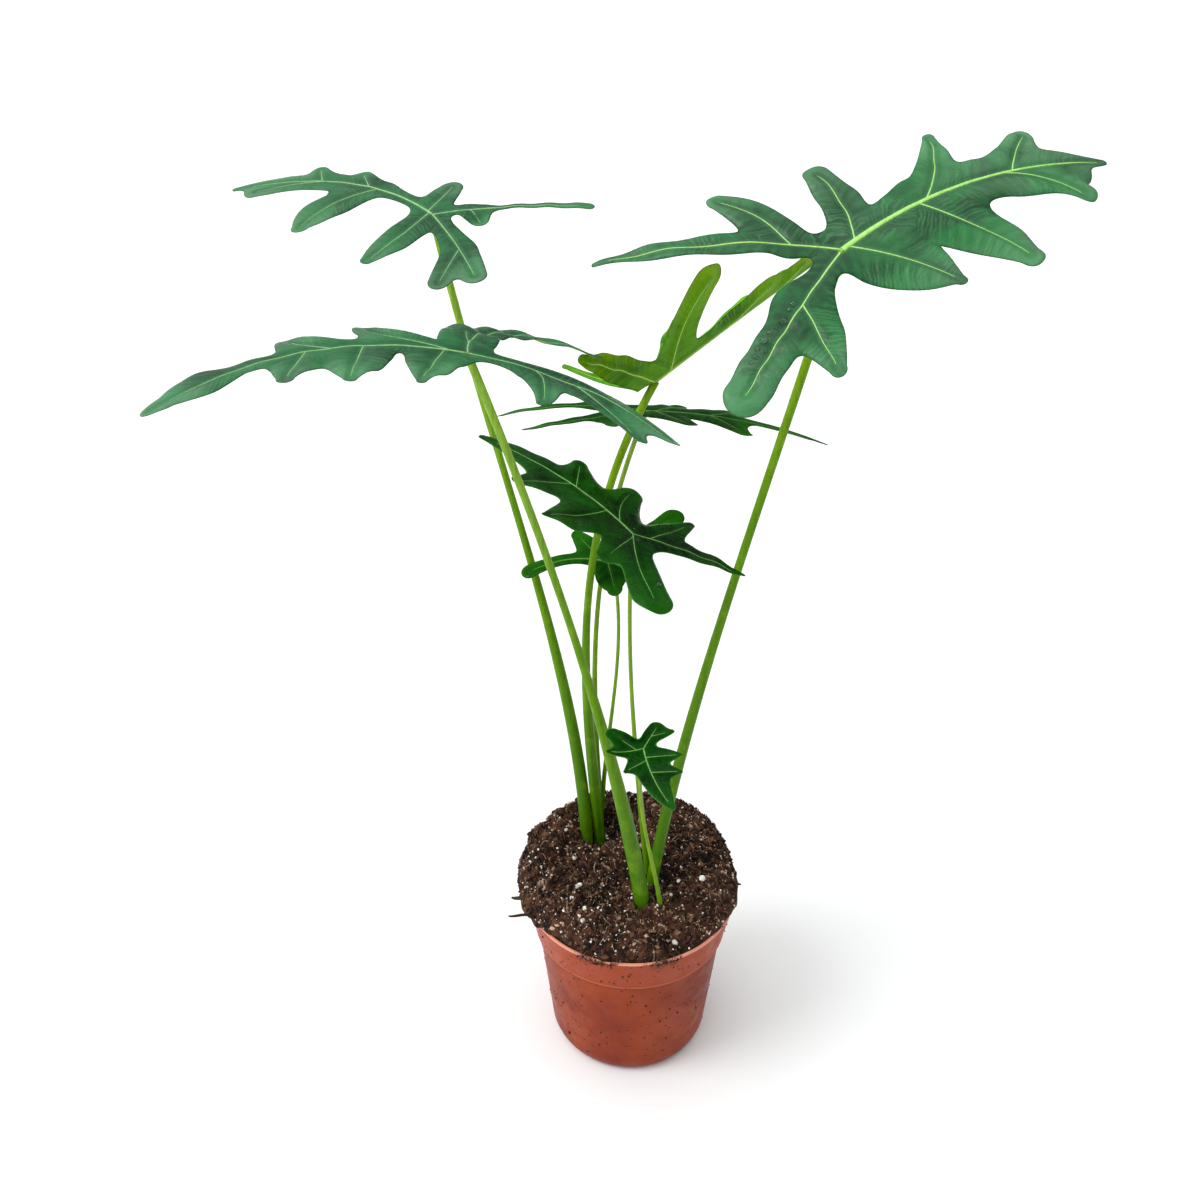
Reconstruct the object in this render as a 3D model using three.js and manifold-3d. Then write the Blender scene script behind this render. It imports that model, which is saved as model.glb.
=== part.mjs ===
// Potted alocasia portei, in millimetres, +Z up.
// The origin is at the middle of the pot's flat bottom, and the front of the plant faces -Y.
import * as THREE from "three";
import { mergeVertices } from "three/addons/utils/BufferGeometryUtils.js";
import Module from "manifold-3d";

const wasm = await Module();
wasm.setup();

// Pot: a 12 cm nursery pot of thin plastic with a rim band
const POT_TOP_RADIUS = 58;
const POT_HEIGHT = 100.5;
const POT_WALL = 1.6;
const BAND_HEIGHT = 22.6;
const BAND_LOW_RADIUS = 53.8;
const BAND_STEP = 1.9;
const POT_BASE_RADIUS = 44;
const POT_BASE_EDGE = 7;
const POT_FLOOR = 2;
const POT_SIDES = 40;
const DRAIN_RADIUS = 5;
const DRAIN_CIRCLE = 27;
const DRAIN_COUNT = 6;

// Soil: filled to the rim, mounded and crumbly on top
const CLEAR = 0.3;
const SOIL_RIM_HEIGHT = 101.5;
const SOIL_CROWN = 17;
const SOIL_STEEPNESS = 6;
const SOIL_BACK_RISE = 13;
const SOIL_BACK_HEADING = 100;
const SOIL_BACK_START = 22;
const SOIL_BACK_END = 40;
const SOIL_OVERHANG = 2.5;
const SOIL_FRONT_DRAW = 3.7;
const SOIL_BARE_START = 10;
const SOIL_BARE_END = 45;
const SOIL_LEFT_BULGE = 2.5;
const SOIL_LEFT_REACH = 50;
const SOIL_HOLLOW = [-17, 25];
const SOIL_HOLLOW_REACH = 13;
const SOIL_HOLLOW_DEPTH = 12;
const SOIL_LUMP = 1.6;
const SOIL_RINGS = 7;

// Rhizomes: one stub in the soil under each cluster of stems
const RHIZOME_RADIUS = 15;
const RHIZOME_LENGTH = 34;
const RHIZOME_TOP = 90;
const ROOT_COUNT = 5;
const ROOT_LENGTH = 22;
const ROOT_RADIUS = 1.6;
const POCKET_GROW = 0.4;

// Blades: thin sheets with a lobed outline round their veins
const BLADE_THICK = 0.9;
const BLADE_GAP = 0.4;
const BLEND = 3.2;
const SMALL_BLEND = 1.8;
const GRASP = 3;
const VEIN_STEPS = 10;
const BLADE_CELL = 6;
const SMALL_CELL = 3.2;
const SNAP = 0.36;
const RIPPLE = 0.7;
const RIPPLE_LENGTH = 17;
const CREASE = 3;

// Stems
const SHEATH_START = 0.15;
const SHEATH_END = 0.65;
const STEM_SIDES = 8;
const STEM_STEPS = 14;
const HOLE_TOP = 136;

const LEAF_GREEN = 0x35663f;
const DARK_GREEN = 0x1f4a24;
const OLIVE_GREEN = 0x5d7f22;
const STEM_GREEN = 0x86a83a;
const POT_ORANGE = 0xa04a34;
const SOIL_BROWN = 0x3b2a21;
const ROOT_CREAM = 0xcbb793;

// Each vein: name, parent, place on the parent, end u, end v, bow,
// half width of the blade at its start, middle and end, and lift of its end.
// u runs along the midrib and v to the leaf's left, from the place where the stem joins the blade.
const leaves = {
  a: {
    apex: [83, 0, 452], heading: 24, pitch: 20, roll: 25,
    droop: 14, sag: 6, camber: 8, fold: 0, cell: BLADE_CELL, blend: BLEND, colour: LEAF_GREEN,
    stem: { path: [[8.2, -17], [26.5, -11, 211], [54.3, -5, 332]], low: 3, top: 2 },
    veins: [
      ["mid", null, 0, 140, -7, 8, 3, 12, 2, 0],
      ["back_left", null, 0, -86, 60, -6, 1, 5.5, 1, 0],
      ["back_right", null, 0, -73, -38, -1, 3, 8, 9, 0],
      ["left_1", "mid", 0.05, 18, 43, -3, 6, 9, 6.5, 0],
      ["left_2", "mid", 0.33, 75, 38, -3, 8, 8, 3, 0],
      ["left_3", "mid", 0.66, 116, 21, 1, 7, 8, 5, 0],
      ["right_1", "mid", 0.02, 29, -40, 2, 11, 16, 3, 0],
      ["right_2", "mid", 0.3, 63, -43, 2, 12, 15, 6, 0],
      ["right_3", "mid", 0.62, 113, -22, 4, 11, 12, 6, 0],
      ["right_4", "mid", 0.8, 123, -12, 1, 5, 7, 3, 0],
      ["back_left_1", "back_left", 0.2, -25, 56, -3, 7, 8.5, 5, 0],
      ["back_right_1", "back_right", 0.4, -37, -49, 0, 12, 10, 3.5, 0],
    ],
  },
  b: {
    apex: [-96, 80, 449], heading: 152, pitch: 6, roll: -16,
    droop: 8, sag: 3, camber: 8, fold: 0, cell: BLADE_CELL, blend: BLEND, colour: LEAF_GREEN,
    stem: { path: [[-24.3, 17], [-36.8, 38, 210], [-67, 61, 330]], low: 3.4, top: 1.85 },
    veins: [
      ["mid", null, 0, 118, 7, -15, 2, 6, 2, 0],
      ["back_left", null, 0, -46, 35, 1, 2, 6.5, 5.5, 0],
      ["back_right", null, 0, -62, -40, 3, 1.5, 1.8, 3, 0],
      ["right_1", "mid", 0.03, 6, -25, 0, 3.5, 7, 6, 0],
      ["right_2", "mid", 0.38, 56, -21, 0, 3, 4.5, 3.5, 0],
      ["right_3", "mid", 0.62, 83, -20, 0, 3, 4.5, 3.5, 0],
      ["left_1", "mid", 0.02, 6, 45, 1, 4, 9, 3, 0],
      ["left_2", "mid", 0.33, 54, 33, -6, 6, 12, 4.5, 0],
      ["left_3", "mid", 0.6, 103, 8, -2, 6, 7, 6, 0],
      ["back_left_1", "back_left", 0.6, -34, 46, 0, 5, 6, 5, 0],
      ["back_right_1", "back_right", 0.24, -20, -9, 0, 3.5, 5, 4, -4],
    ],
  },
  c: {
    apex: [-67, -60, 428], heading: 200, pitch: 12, roll: 0,
    droop: 26, sag: 12, camber: 8, fold: 0, cell: BLADE_CELL, blend: BLEND, colour: LEAF_GREEN,
    stem: { path: [[8.5, -28], [-8.4, -40, 203], [-34.3, -50, 316]], low: 4, top: 1.7 },
    veins: [
      ["mid", null, 0, 118, 4, -11, 5, 5, 3, 0],
      ["tip", "mid", 0.7, 112, 1, -1, 3, 11, 5, 0],
      ["back_left", null, 0, -66, 54, 8, 4, 8, 4, -4],
      ["back_right", null, 0, -70, -36, 24, 8, 8, 1, 0],
      ["right_1", "mid", 0.05, 32, -27, 0, 6, 9, 7, 0],
      ["right_2", "mid", 0.42, 62, -22, 0, 6, 8, 7, 0],
      ["left_1", "mid", 0.07, 25, 32, 0, 9, 10, 2, 0],
      ["left_2", "mid", 0.32, 49, 25, 0, 8, 11, 2.5, 0],
      ["left_3", "mid", 0.5, 70, 15, 0, 8, 9, 3.5, 0],
      ["back_right_1", "back_right", 0.12, -7, -30, 0, 6, 10, 7, 2],
      ["back_left_1", "back_left", 0.3, -19, 38, 2, 7, 6, 2.5, -4],
      ["back_left_2", "back_left", 0.5, -52, 56, 0, 6, 7, 3, -4],
    ],
  },
  d: {
    apex: [8, 30, 385], heading: 30, pitch: 27, roll: -34,
    droop: 2, sag: -60, camber: 0, fold: 36, cell: BLADE_CELL, blend: BLEND, colour: OLIVE_GREEN,
    stem: { path: [[-15.8, 24], [-22.9, 26, 189], [-21.2, 28, 287]], low: 3.1, top: 1.9 },
    veins: [
      ["mid", null, 0, 103, 0, 0, 5, 6, 2, 0],
      ["back_right", null, 0, -38, -36, 4, 4, 8, 3, 0],
      ["back_left", null, 0, -34, 28, -4, 3, 4.5, 2, 12],
      ["right_1", "mid", 0.08, 36.5, -38.5, -4, 12, 9.5, 8, 0],
      ["left_1", "mid", 0.14, 40, 29, 4, 6, 8, 6, 0],
      ["right_2", "mid", 0.42, 69, -8, 0, 7, 7, 5, 0],
      ["left_2", "mid", 0.42, 62, 9, 0, 6, 7, 4, 0],
      ["right_3", "mid", 0.72, 89, -6, 0, 5, 6, 4.5, 0],
      ["left_3", "mid", 0.72, 86, 9, 0, 4, 5, 3.5, 0],
    ],
  },
  e: {
    apex: [6, 62, 358], heading: 5, pitch: -5, roll: -8,
    droop: 15, sag: 22, camber: 5, fold: 0, cell: BLADE_CELL, blend: BLEND, colour: DARK_GREEN,
    stem: { path: [[-15, 31], [-19.4, 42, 179], [-16.6, 57, 264]], low: 1.75, top: 1.25 },
    veins: [
      ["mid", null, 0, 94, -4, 5, 4, 6, 1, 0],
      ["back_left", null, 0, -74, 28, -3, 3, 5, 1, -2],
      ["back_right", null, 0, -62, -28, 3, 3, 5, 1, 2],
      ["left_1", "mid", 0.05, 20, 24, 0, 6, 6, 4, -2],
      ["right_1", "mid", 0.05, 18, -22, 0, 6, 6, 4, 0],
      ["left_2", "mid", 0.35, 46, 18, 0, 6, 6, 3, 0],
      ["right_2", "mid", 0.35, 47, -18, 0, 8, 8, 4, -2],
      ["back_left_1", "back_left", 0.3, -18, 32, 0, 5, 5, 4, 0],
      ["back_right_1", "back_right", 0.3, -20, -30, 0, 5, 5, 3, 0],
    ],
  },
  f: {
    apex: [-2, -20, 331], heading: 142, pitch: 18, roll: 8,
    droop: 7, sag: 5, camber: 4, fold: 0, cell: BLADE_CELL, blend: BLEND, colour: DARK_GREEN,
    stem: { path: [[12, -8], [4, -12, 171], [-2, -16, 251]], low: 1.8, top: 1 },
    veins: [
      ["mid", null, 0, 93, -1, -6, 6, 10.5, 2.5, 0],
      ["back_left", null, 0, -34, 31, -2, 4, 8, 9.5, 0],
      ["back_right", null, 0, -46, -28, 2, 4, 6, 1, 0],
      ["right_1", "mid", 0.1, 22, -27, 2, 4, 8, 7, 0],
      ["right_2", "mid", 0.42, 52, -26, 0, 6, 7, 4, 0],
      ["left_1", "mid", 0.2, 31, 28, 3, 13, 13, 1, 0],
      ["left_2", "mid", 0.45, 56, 17, 0, 8, 9, 3, 0],
      ["back_left_1", "back_left", 0.05, -5, 27, 0, 8, 8, 5, 0],
      ["back_right_1", "back_right", 0.15, -9, -37, 0, 5, 6, 2, 0],
    ],
  },
  g: {
    apex: [-11, 40, 284], heading: 178, pitch: -8, roll: -24,
    droop: 8, sag: 8, camber: 6, fold: 0, cell: SMALL_CELL, blend: SMALL_BLEND, colour: DARK_GREEN,
    stem: { path: [[-14, 39], [-14, 38, 155], [-8, 39, 220]], low: 1.4, top: 0.95 },
    veins: [
      ["mid", null, 0, 43, -1, -5, 4, 3.5, 4.5, 0],
      ["back_left", null, 0, -16, 10, 0, 3, 4, 3, 0],
      ["back_right", null, 0, -33, -26, 0, 3, 6, 6, 0],
      ["right_1", "mid", 0.1, 18, -21, 0, 5, 6, 3, 0],
      ["left_1", "mid", 0.05, -1, 17, 0, 5, 8, 4, 0],
    ],
  },
  h: {
    apex: [3, -58, 240], heading: -72, pitch: -15, roll: 4,
    droop: 10, sag: 8, camber: 6, fold: 0, cell: SMALL_CELL, blend: SMALL_BLEND, colour: DARK_GREEN,
    stem: { path: [[16, -27], [12, -38, 139], [4, -49, 190]], low: 1.4, top: 0.9 },
    veins: [
      ["mid", null, 0, 34, 2, -2, 2, 6, 1.5, 0],
      ["back_right", null, 0, -3, -16, 1, 2, 3, 1, 0],
      ["back_left", null, 0, -9.5, 9.5, 0, 1, 3, 3.5, 0],
      ["back_right_1", "back_right", 0.2, -12, -11, 0, 2, 4.5, 3.5, 0],
      ["back_left_1", "back_left", 0.6, -5.5, 16, 0, 2, 2.5, 1, 0],
      ["left_1", "mid", 0.15, 8, 15, 0, 3, 4, 1, 0],
      ["left_2", "mid", 0.4, 17, 12, 0, 4, 3.5, 1, 0],
      ["right_1", "mid", 0.2, 10, -12, 0, 4, 4, 1, 0],
    ],
  },
};

const radians = THREE.MathUtils.degToRad;

// Closed solids for joins and cuts
function toSolid(geometry) {
  const bare = geometry.clone();
  bare.deleteAttribute("normal");
  bare.deleteAttribute("uv");
  const merged = mergeVertices(bare, 1e-4);
  return new wasm.Manifold(new wasm.Mesh({
    numProp: 3,
    vertProperties: Float32Array.from(merged.attributes.position.array),
    triVerts: Uint32Array.from(merged.index.array),
  }));
}

function toGeometry(solid) {
  const { vertProperties, triVerts } = solid.getMesh();
  return makeGeometry(vertProperties, triVerts);
}

function makeGeometry(positions, triangles) {
  const geometry = new THREE.BufferGeometry();
  geometry.setAttribute("position", new THREE.BufferAttribute(Float32Array.from(positions), 3));
  geometry.setIndex(Array.from(triangles));
  geometry.computeVertexNormals();
  return geometry;
}

function namedMesh(name, geometry, color, roughness) {
  const material = new THREE.MeshStandardMaterial({ color, roughness, metalness: 0 });
  const mesh = new THREE.Mesh(geometry, material);
  mesh.name = name;
  return mesh;
}

// A lathe turned from the Y axis to stand along +Z
function upright(profile, sides) {
  const points = profile.map(([radius, z]) => new THREE.Vector2(radius, z));
  return new THREE.LatheGeometry(points, sides).rotateX(Math.PI / 2);
}

// Pot
function potRadius(z) {
  const share = z / (POT_HEIGHT - BAND_HEIGHT);
  return THREE.MathUtils.lerp(POT_BASE_RADIUS, BAND_LOW_RADIUS - BAND_STEP, share);
}

function potBody() {
  const bandLow = POT_HEIGHT - BAND_HEIGHT;
  const corner = [0, 30, 60].map((degrees) => [
    POT_BASE_RADIUS - POT_BASE_EDGE * (1 - Math.sin(radians(degrees))),
    POT_BASE_EDGE * (1 - Math.cos(radians(degrees))),
  ]);
  const outside = [
    [0, 0], ...corner, [potRadius(POT_BASE_EDGE), POT_BASE_EDGE], [potRadius(bandLow - 0.8), bandLow - 0.8],
    [BAND_LOW_RADIUS, bandLow], [POT_TOP_RADIUS - 0.4, POT_HEIGHT - 1.5], [POT_TOP_RADIUS, POT_HEIGHT],
  ];
  const inside = [
    [POT_TOP_RADIUS - POT_WALL, POT_HEIGHT], [BAND_LOW_RADIUS - POT_WALL, bandLow + 1],
    [potRadius(bandLow) - POT_WALL, bandLow - 2], [potRadius(12) - POT_WALL, 12],
    [POT_BASE_RADIUS - POT_BASE_EDGE - 1, POT_FLOOR], [0, POT_FLOOR],
  ];
  let body = toSolid(upright([...outside, ...inside], POT_SIDES));
  for (let i = 0; i < DRAIN_COUNT; i++) {
    const angle = (i / DRAIN_COUNT) * 2 * Math.PI;
    const drill = new THREE.CylinderGeometry(DRAIN_RADIUS, DRAIN_RADIUS, 3 * POT_FLOOR, 12);
    drill.rotateX(Math.PI / 2);
    drill.translate(DRAIN_CIRCLE * Math.cos(angle), DRAIN_CIRCLE * Math.sin(angle), 0);
    body = body.subtract(toSolid(drill));
  }
  return toGeometry(body);
}

// Stems: a tube along a smooth curve that passes its points a third and two thirds up.
// It is stout up to the end of its sheath and slim above it.
function stemCurve(foot, low, high, top) {
  const mix = (a, b, c, d) => foot.clone().multiplyScalar(a).addScaledVector(low, b)
    .addScaledVector(high, c).addScaledVector(top, d).divideScalar(6);
  return new THREE.CubicBezierCurve3(foot, mix(-5, 18, -9, 2), mix(2, -9, 18, -5), top);
}

function taperedTube(curve, low, high, sides, steps) {
  const { clamp, lerp, smoothstep } = THREE.MathUtils;
  const tube = new THREE.CylinderGeometry(high, low, 1, sides, steps);
  const place = tube.attributes.position;
  const across = new THREE.Vector3(0, 1, 0);
  for (let i = 0; i < place.count; i++) {
    const share = clamp(place.getY(i) + 0.5, 0, 1);
    const along = curve.getTangent(share);
    const side = new THREE.Vector3().crossVectors(across, along).normalize();
    const other = new THREE.Vector3().crossVectors(along, side);
    const point = curve.getPoint(share);
    const stout = lerp(low, high, smoothstep(share, SHEATH_START, SHEATH_END)) / lerp(low, high, share);
    point.addScaledVector(side, stout * place.getX(i)).addScaledVector(other, -stout * place.getZ(i));
    place.setXYZ(i, point.x, point.y, point.z);
  }
  return tube;
}

function leafFrame(leaf) {
  const turn = new THREE.Matrix4().makeRotationZ(radians(leaf.heading));
  turn.multiply(new THREE.Matrix4().makeRotationY(-radians(leaf.pitch)));
  turn.multiply(new THREE.Matrix4().makeRotationX(radians(leaf.roll)));
  return turn.setPosition(new THREE.Vector3(...leaf.apex));
}

// The stem stands just above its rhizome and stops just under its blade,
// with room for the tilt of both ends
function stemOf(leaf, extra = 0) {
  const { path, low, top } = leaf.stem;
  const foot = new THREE.Vector3(path[0][0], path[0][1], RHIZOME_TOP);
  const [third, twoThirds] = [path[1], path[2]].map((point) => new THREE.Vector3(...point));
  const apex = new THREE.Vector3(...leaf.apex);
  const normal = new THREE.Vector3(0, 0, 1).transformDirection(leafFrame(leaf));
  const rough = stemCurve(foot, third, twoThirds, apex);
  const tiltLow = Math.sqrt(1 - rough.getTangent(0).z ** 2);
  const tiltTop = Math.sqrt(1 - rough.getTangent(1).dot(normal) ** 2);
  const start = foot.clone().setZ(RHIZOME_TOP + CLEAR + low * tiltLow);
  const end = apex.addScaledVector(normal, -(BLADE_THICK / 2 + BLADE_GAP + top * tiltTop));
  const curve = stemCurve(start, third, twoThirds, end);
  return taperedTube(curve, low + extra, top + extra, STEM_SIDES, STEM_STEPS);
}

// Rhizomes with their roots; grow makes the pocket that each lies in
function rhizome(centre, seed, grow) {
  const [x, y] = centre;
  const low = RHIZOME_TOP - RHIZOME_LENGTH;
  const profile = [
    [0, low - grow], [0.4 * RHIZOME_RADIUS + grow, low - grow],
    [0.7 * RHIZOME_RADIUS + grow, low + 0.3 * RHIZOME_LENGTH],
    [RHIZOME_RADIUS + grow, low + 0.7 * RHIZOME_LENGTH],
    [RHIZOME_RADIUS + grow, RHIZOME_TOP - 2], [RHIZOME_RADIUS - 1 + grow, RHIZOME_TOP + grow],
    [0, RHIZOME_TOP + grow],
  ];
  let body = toSolid(upright(profile, 14).translate(x, y, 0));
  for (let i = 0; i < ROOT_COUNT; i++) {
    const angle = seed + (i / ROOT_COUNT) * 2 * Math.PI;
    const out = new THREE.Vector3(Math.cos(angle), Math.sin(angle), 0);
    const start = new THREE.Vector3(x, y, RHIZOME_TOP - 0.6 * RHIZOME_LENGTH).addScaledVector(out, 5);
    const end = start.clone().addScaledVector(out, ROOT_LENGTH * 0.4);
    end.z -= ROOT_LENGTH * 0.8 + (i % 2) * 4;
    end.addScaledVector(end.clone().sub(start).normalize(), grow);
    const curve = new THREE.LineCurve3(start, end);
    body = body.add(toSolid(taperedTube(curve, ROOT_RADIUS + grow, ROOT_RADIUS * 0.6 + grow, 6, 1)));
  }
  return body;
}

// Soil surface: a mound with low lumps, higher towards the back.
// It hangs over the pot's rim at the back and sides, most at the left, and leaves it bare in front.
function soilEdge(x, y) {
  const front = THREE.MathUtils.smoothstep(-y, SOIL_BARE_START, SOIL_BARE_END);
  const left = THREE.MathUtils.smoothstep(-x, 0, SOIL_LEFT_REACH) * (1 - front);
  return POT_TOP_RADIUS + SOIL_OVERHANG + SOIL_LEFT_BULGE * left - SOIL_FRONT_DRAW * front;
}

function soilHeight(x, y) {
  const share = Math.hypot(x, y) / soilEdge(x, y);
  const crown = SOIL_CROWN * (1 - share ** SOIL_STEEPNESS);
  const heading = radians(SOIL_BACK_HEADING);
  const toBack = x * Math.cos(heading) + y * Math.sin(heading);
  const back = SOIL_BACK_RISE * THREE.MathUtils.smoothstep(toBack, -SOIL_BACK_START, SOIL_BACK_END);
  const lump = Math.sin(x * 0.23 + 1) * Math.cos(y * 0.27) + 0.6 * Math.sin(x * 0.51 - y * 0.43);
  const toHollow = Math.hypot(x - SOIL_HOLLOW[0], y - SOIL_HOLLOW[1]) / SOIL_HOLLOW_REACH;
  const hollow = SOIL_HOLLOW_DEPTH * Math.exp(-toHollow * toHollow);
  return SOIL_RIM_HEIGHT + crown + back + SOIL_LUMP * lump * (1 - 0.6 * share) - hollow;
}

function soilBody() {
  const bandLow = POT_HEIGHT - BAND_HEIGHT;
  const gap = POT_WALL + CLEAR;
  const wall = [
    [0, POT_FLOOR + CLEAR], [POT_BASE_RADIUS - POT_BASE_EDGE - 1.4, POT_FLOOR + CLEAR],
    [potRadius(12) - gap, 12.2], [potRadius(bandLow) - gap - 0.2, bandLow - 2],
    [BAND_LOW_RADIUS - gap - 0.2, bandLow + 1], [POT_TOP_RADIUS - gap - 0.2, POT_HEIGHT - 1.2],
    [POT_TOP_RADIUS - gap, POT_HEIGHT + CLEAR], [POT_TOP_RADIUS + SOIL_OVERHANG, POT_HEIGHT + CLEAR],
  ];
  const top = [];
  for (let ring = SOIL_RINGS; ring >= 0; ring--) {
    top.push([(ring / SOIL_RINGS) * (POT_TOP_RADIUS + SOIL_OVERHANG), SOIL_RIM_HEIGHT]);
  }
  const geometry = upright([...wall, ...top], POT_SIDES);
  const place = geometry.attributes.position;
  for (let i = 0; i < place.count; i++) {
    const [x, y] = [place.getX(i), place.getY(i)];
    if (Math.hypot(x, y) > POT_TOP_RADIUS) {
      const grow = soilEdge(x, y) / Math.hypot(x, y);
      place.setXY(i, grow * x, grow * y);
    }
    if (place.getZ(i) > SOIL_RIM_HEIGHT - 0.01) {
      place.setZ(i, Math.max(soilHeight(place.getX(i), place.getY(i)), POT_HEIGHT + 1));
    }
  }
  return toSolid(geometry);
}

// Blades: the outline is where a smooth union of strips round the veins ends
function veinPoint(vein, share) {
  const rest = 1 - share;
  return [0, 1].map((i) => (
    rest * rest * vein.start[i] + 2 * rest * share * vein.bend[i] + share * share * vein.end[i]
  ));
}

function readVeins(rows, blend) {
  const veins = {};
  for (const [name, parent, place, u, v, bow, first, middle, last, lift] of rows) {
    const start = parent ? veinPoint(veins[parent], place) : [0, 0];
    const base = parent ? veins[parent].base + veins[parent].lift * place * place : 0;
    const [du, dv] = [u - start[0], v - start[1]];
    const length = Math.hypot(du, dv);
    const bend = [
      (start[0] + u) / 2 - (2 * bow * dv) / length,
      (start[1] + v) / 2 + (2 * bow * du) / length,
    ];
    const widths = [first, 4 * middle - 3 * first - last, 2 * first + 2 * last - 4 * middle];
    veins[name] = { start, bend, end: [u, v], base, lift, widths, blend };
    const steps = Array.from({ length: VEIN_STEPS + 1 }, (_, i) => i / VEIN_STEPS);
    veins[name].path = steps.map((share) => veinPoint(veins[name], share));
  }
  return Object.values(veins);
}

// Distance from a point to a vein's path, the share of the path where it is nearest, and that place
function nearest(path, u, v) {
  let best = [Infinity, 0];
  for (let i = 0; i < VEIN_STEPS; i++) {
    const [a, b] = [path[i], path[i + 1]];
    const [bu, bv] = [b[0] - a[0], b[1] - a[1]];
    const share = ((u - a[0]) * bu + (v - a[1]) * bv) / (bu * bu + bv * bv);
    const along = THREE.MathUtils.clamp(share, 0, 1);
    const distance = Math.hypot(u - a[0] - along * bu, v - a[1] - along * bv);
    if (distance < best[0]) {
      best = [distance, (i + along) / VEIN_STEPS, a[0] + along * bu, a[1] + along * bv];
    }
  }
  return best;
}

// The field is below zero inside the blade; lift is the height of the relief there
function bladeField(veins, u, v) {
  const rows = veins.map((vein) => {
    const [distance, share] = nearest(vein.path, u, v);
    const [first, linear, square] = vein.widths;
    return [distance - (first + linear * share + square * share * share), vein.base + vein.lift * share * share];
  });
  const least = Math.min(...rows.map((row) => row[0]));
  const [{ blend }] = veins;
  let [sum, weight, lift] = [0, 0, 0];
  for (const [value, height] of rows) {
    sum += Math.exp(-(value - least) / blend);
    const grasp = Math.exp(-(value - least) / GRASP);
    weight += grasp;
    lift += grasp * height;
  }
  return { value: least - blend * Math.log(sum), lift: lift / weight };
}

// From blade coordinates to the bent surface, before the leaf is placed
function bladeSurface(leaf, u, v, lift) {
  const curl = radians(u >= 0 ? leaf.droop : leaf.sag) / 100 + 1e-7;
  const turn = curl * Math.abs(u);
  const side = u >= 0 ? 1 : -1;
  const camber = radians(leaf.camber) / 100 + 1e-7;
  const fold = radians(leaf.fold);
  const away = Math.sqrt(v * v + CREASE * CREASE) - CREASE;
  const spread = (Math.sin(fold) - Math.sin(fold - camber * away)) / camber + Math.abs(v) - away;
  const ripple = RIPPLE * Math.sin((2 * Math.PI * (u + 0.6 * v)) / RIPPLE_LENGTH) * Math.min(1, away / 20);
  const height = (Math.cos(fold - camber * away) - Math.cos(fold)) / camber + lift + ripple;
  return new THREE.Vector3(
    side * (Math.sin(turn) / curl + height * Math.sin(turn)),
    Math.sign(v) * spread,
    -(1 - Math.cos(turn)) / curl + height * Math.cos(turn),
  );
}

function bladeNormal(leaf, u, v, lift) {
  const step = 0.5;
  const along = bladeSurface(leaf, u + step, v, lift).sub(bladeSurface(leaf, u - step, v, lift));
  const across = bladeSurface(leaf, u, v + step, lift).sub(bladeSurface(leaf, u, v - step, lift));
  return along.cross(across).normalize();
}

// Lattice of points, those near a vein moved onto it and then those near the outline onto that
function latticePoints(veins, cell) {
  const ends = veins.map((vein) => vein.end);
  const [us, vs] = [0, 1].map((i) => ends.map((end) => end[i]));
  const margin = 4 * cell;
  const row = (cell * Math.sqrt(3)) / 2;
  const [u0, v0] = [Math.min(0, ...us) - margin, Math.floor((Math.min(0, ...vs) - margin) / row) * row];
  const columns = Math.ceil((Math.max(...us) + margin - u0) / cell);
  const rows = Math.ceil((Math.max(...vs) + margin - v0) / row);
  const points = [];
  for (let j = 0; j <= rows; j++) {
    for (let i = 0; i <= columns; i++) {
      points.push({ u: u0 + (i + (j % 2) / 2) * cell, v: v0 + j * row });
    }
  }
  const lattice = { points, columns: columns + 1, rows: rows + 1 };
  moveToVeins(veins, lattice, cell);
  for (const [index, point] of points.entries()) {
    point.value = bladeField(veins, point.u, point.v).value;
    if (!point.onVein && Math.abs(point.value) < SNAP * cell) {
      moveToOutline(veins, point, roomAround(lattice, index, 0.4 * cell));
    }
  }
  return lattice;
}

function neighbours({ points, columns }, index) {
  const odd = Math.floor(index / columns) % 2;
  const steps = [-1, 1, columns - 1 + odd, columns + odd, -columns - 1 + odd, -columns + odd];
  return steps.map((step) => points[index + step]).filter((point) => point);
}

// Tells whether a place keeps its distance from the neighbours that were moved before
function roomAround(lattice, index, distance) {
  const moved = neighbours(lattice, index).filter((point) => point.onVein || point.value === 0);
  return (u, v) => moved.every((point) => Math.hypot(point.u - u, point.v - v) > distance);
}

function moveToVeins(veins, lattice, cell) {
  const near = [];
  for (const [index, point] of lattice.points.entries()) {
    for (const vein of veins) {
      const [distance, , u, v] = nearest(vein.path, point.u, point.v);
      if (distance < 0.52 * cell) near.push({ index, distance, u, v });
    }
  }
  near.sort((a, b) => a.distance - b.distance);
  for (const { index, u, v } of near) {
    const point = lattice.points[index];
    if (!point.onVein && roomAround(lattice, index, 0.55 * cell)(u, v)) {
      Object.assign(point, { u, v, onVein: true });
    }
  }
}

function moveToOutline(veins, point, hasRoom) {
  const step = 0.05;
  let { u, v } = point;
  for (let turn = 0; turn < 3; turn++) {
    const here = bladeField(veins, u, v).value;
    const gu = (bladeField(veins, u + step, v).value - here) / step;
    const gv = (bladeField(veins, u, v + step).value - here) / step;
    const scale = here / Math.max(gu * gu + gv * gv, 0.2);
    u -= scale * gu;
    v -= scale * gv;
  }
  if (hasRoom(u, v)) Object.assign(point, { u, v, value: 0 });
}

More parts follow.
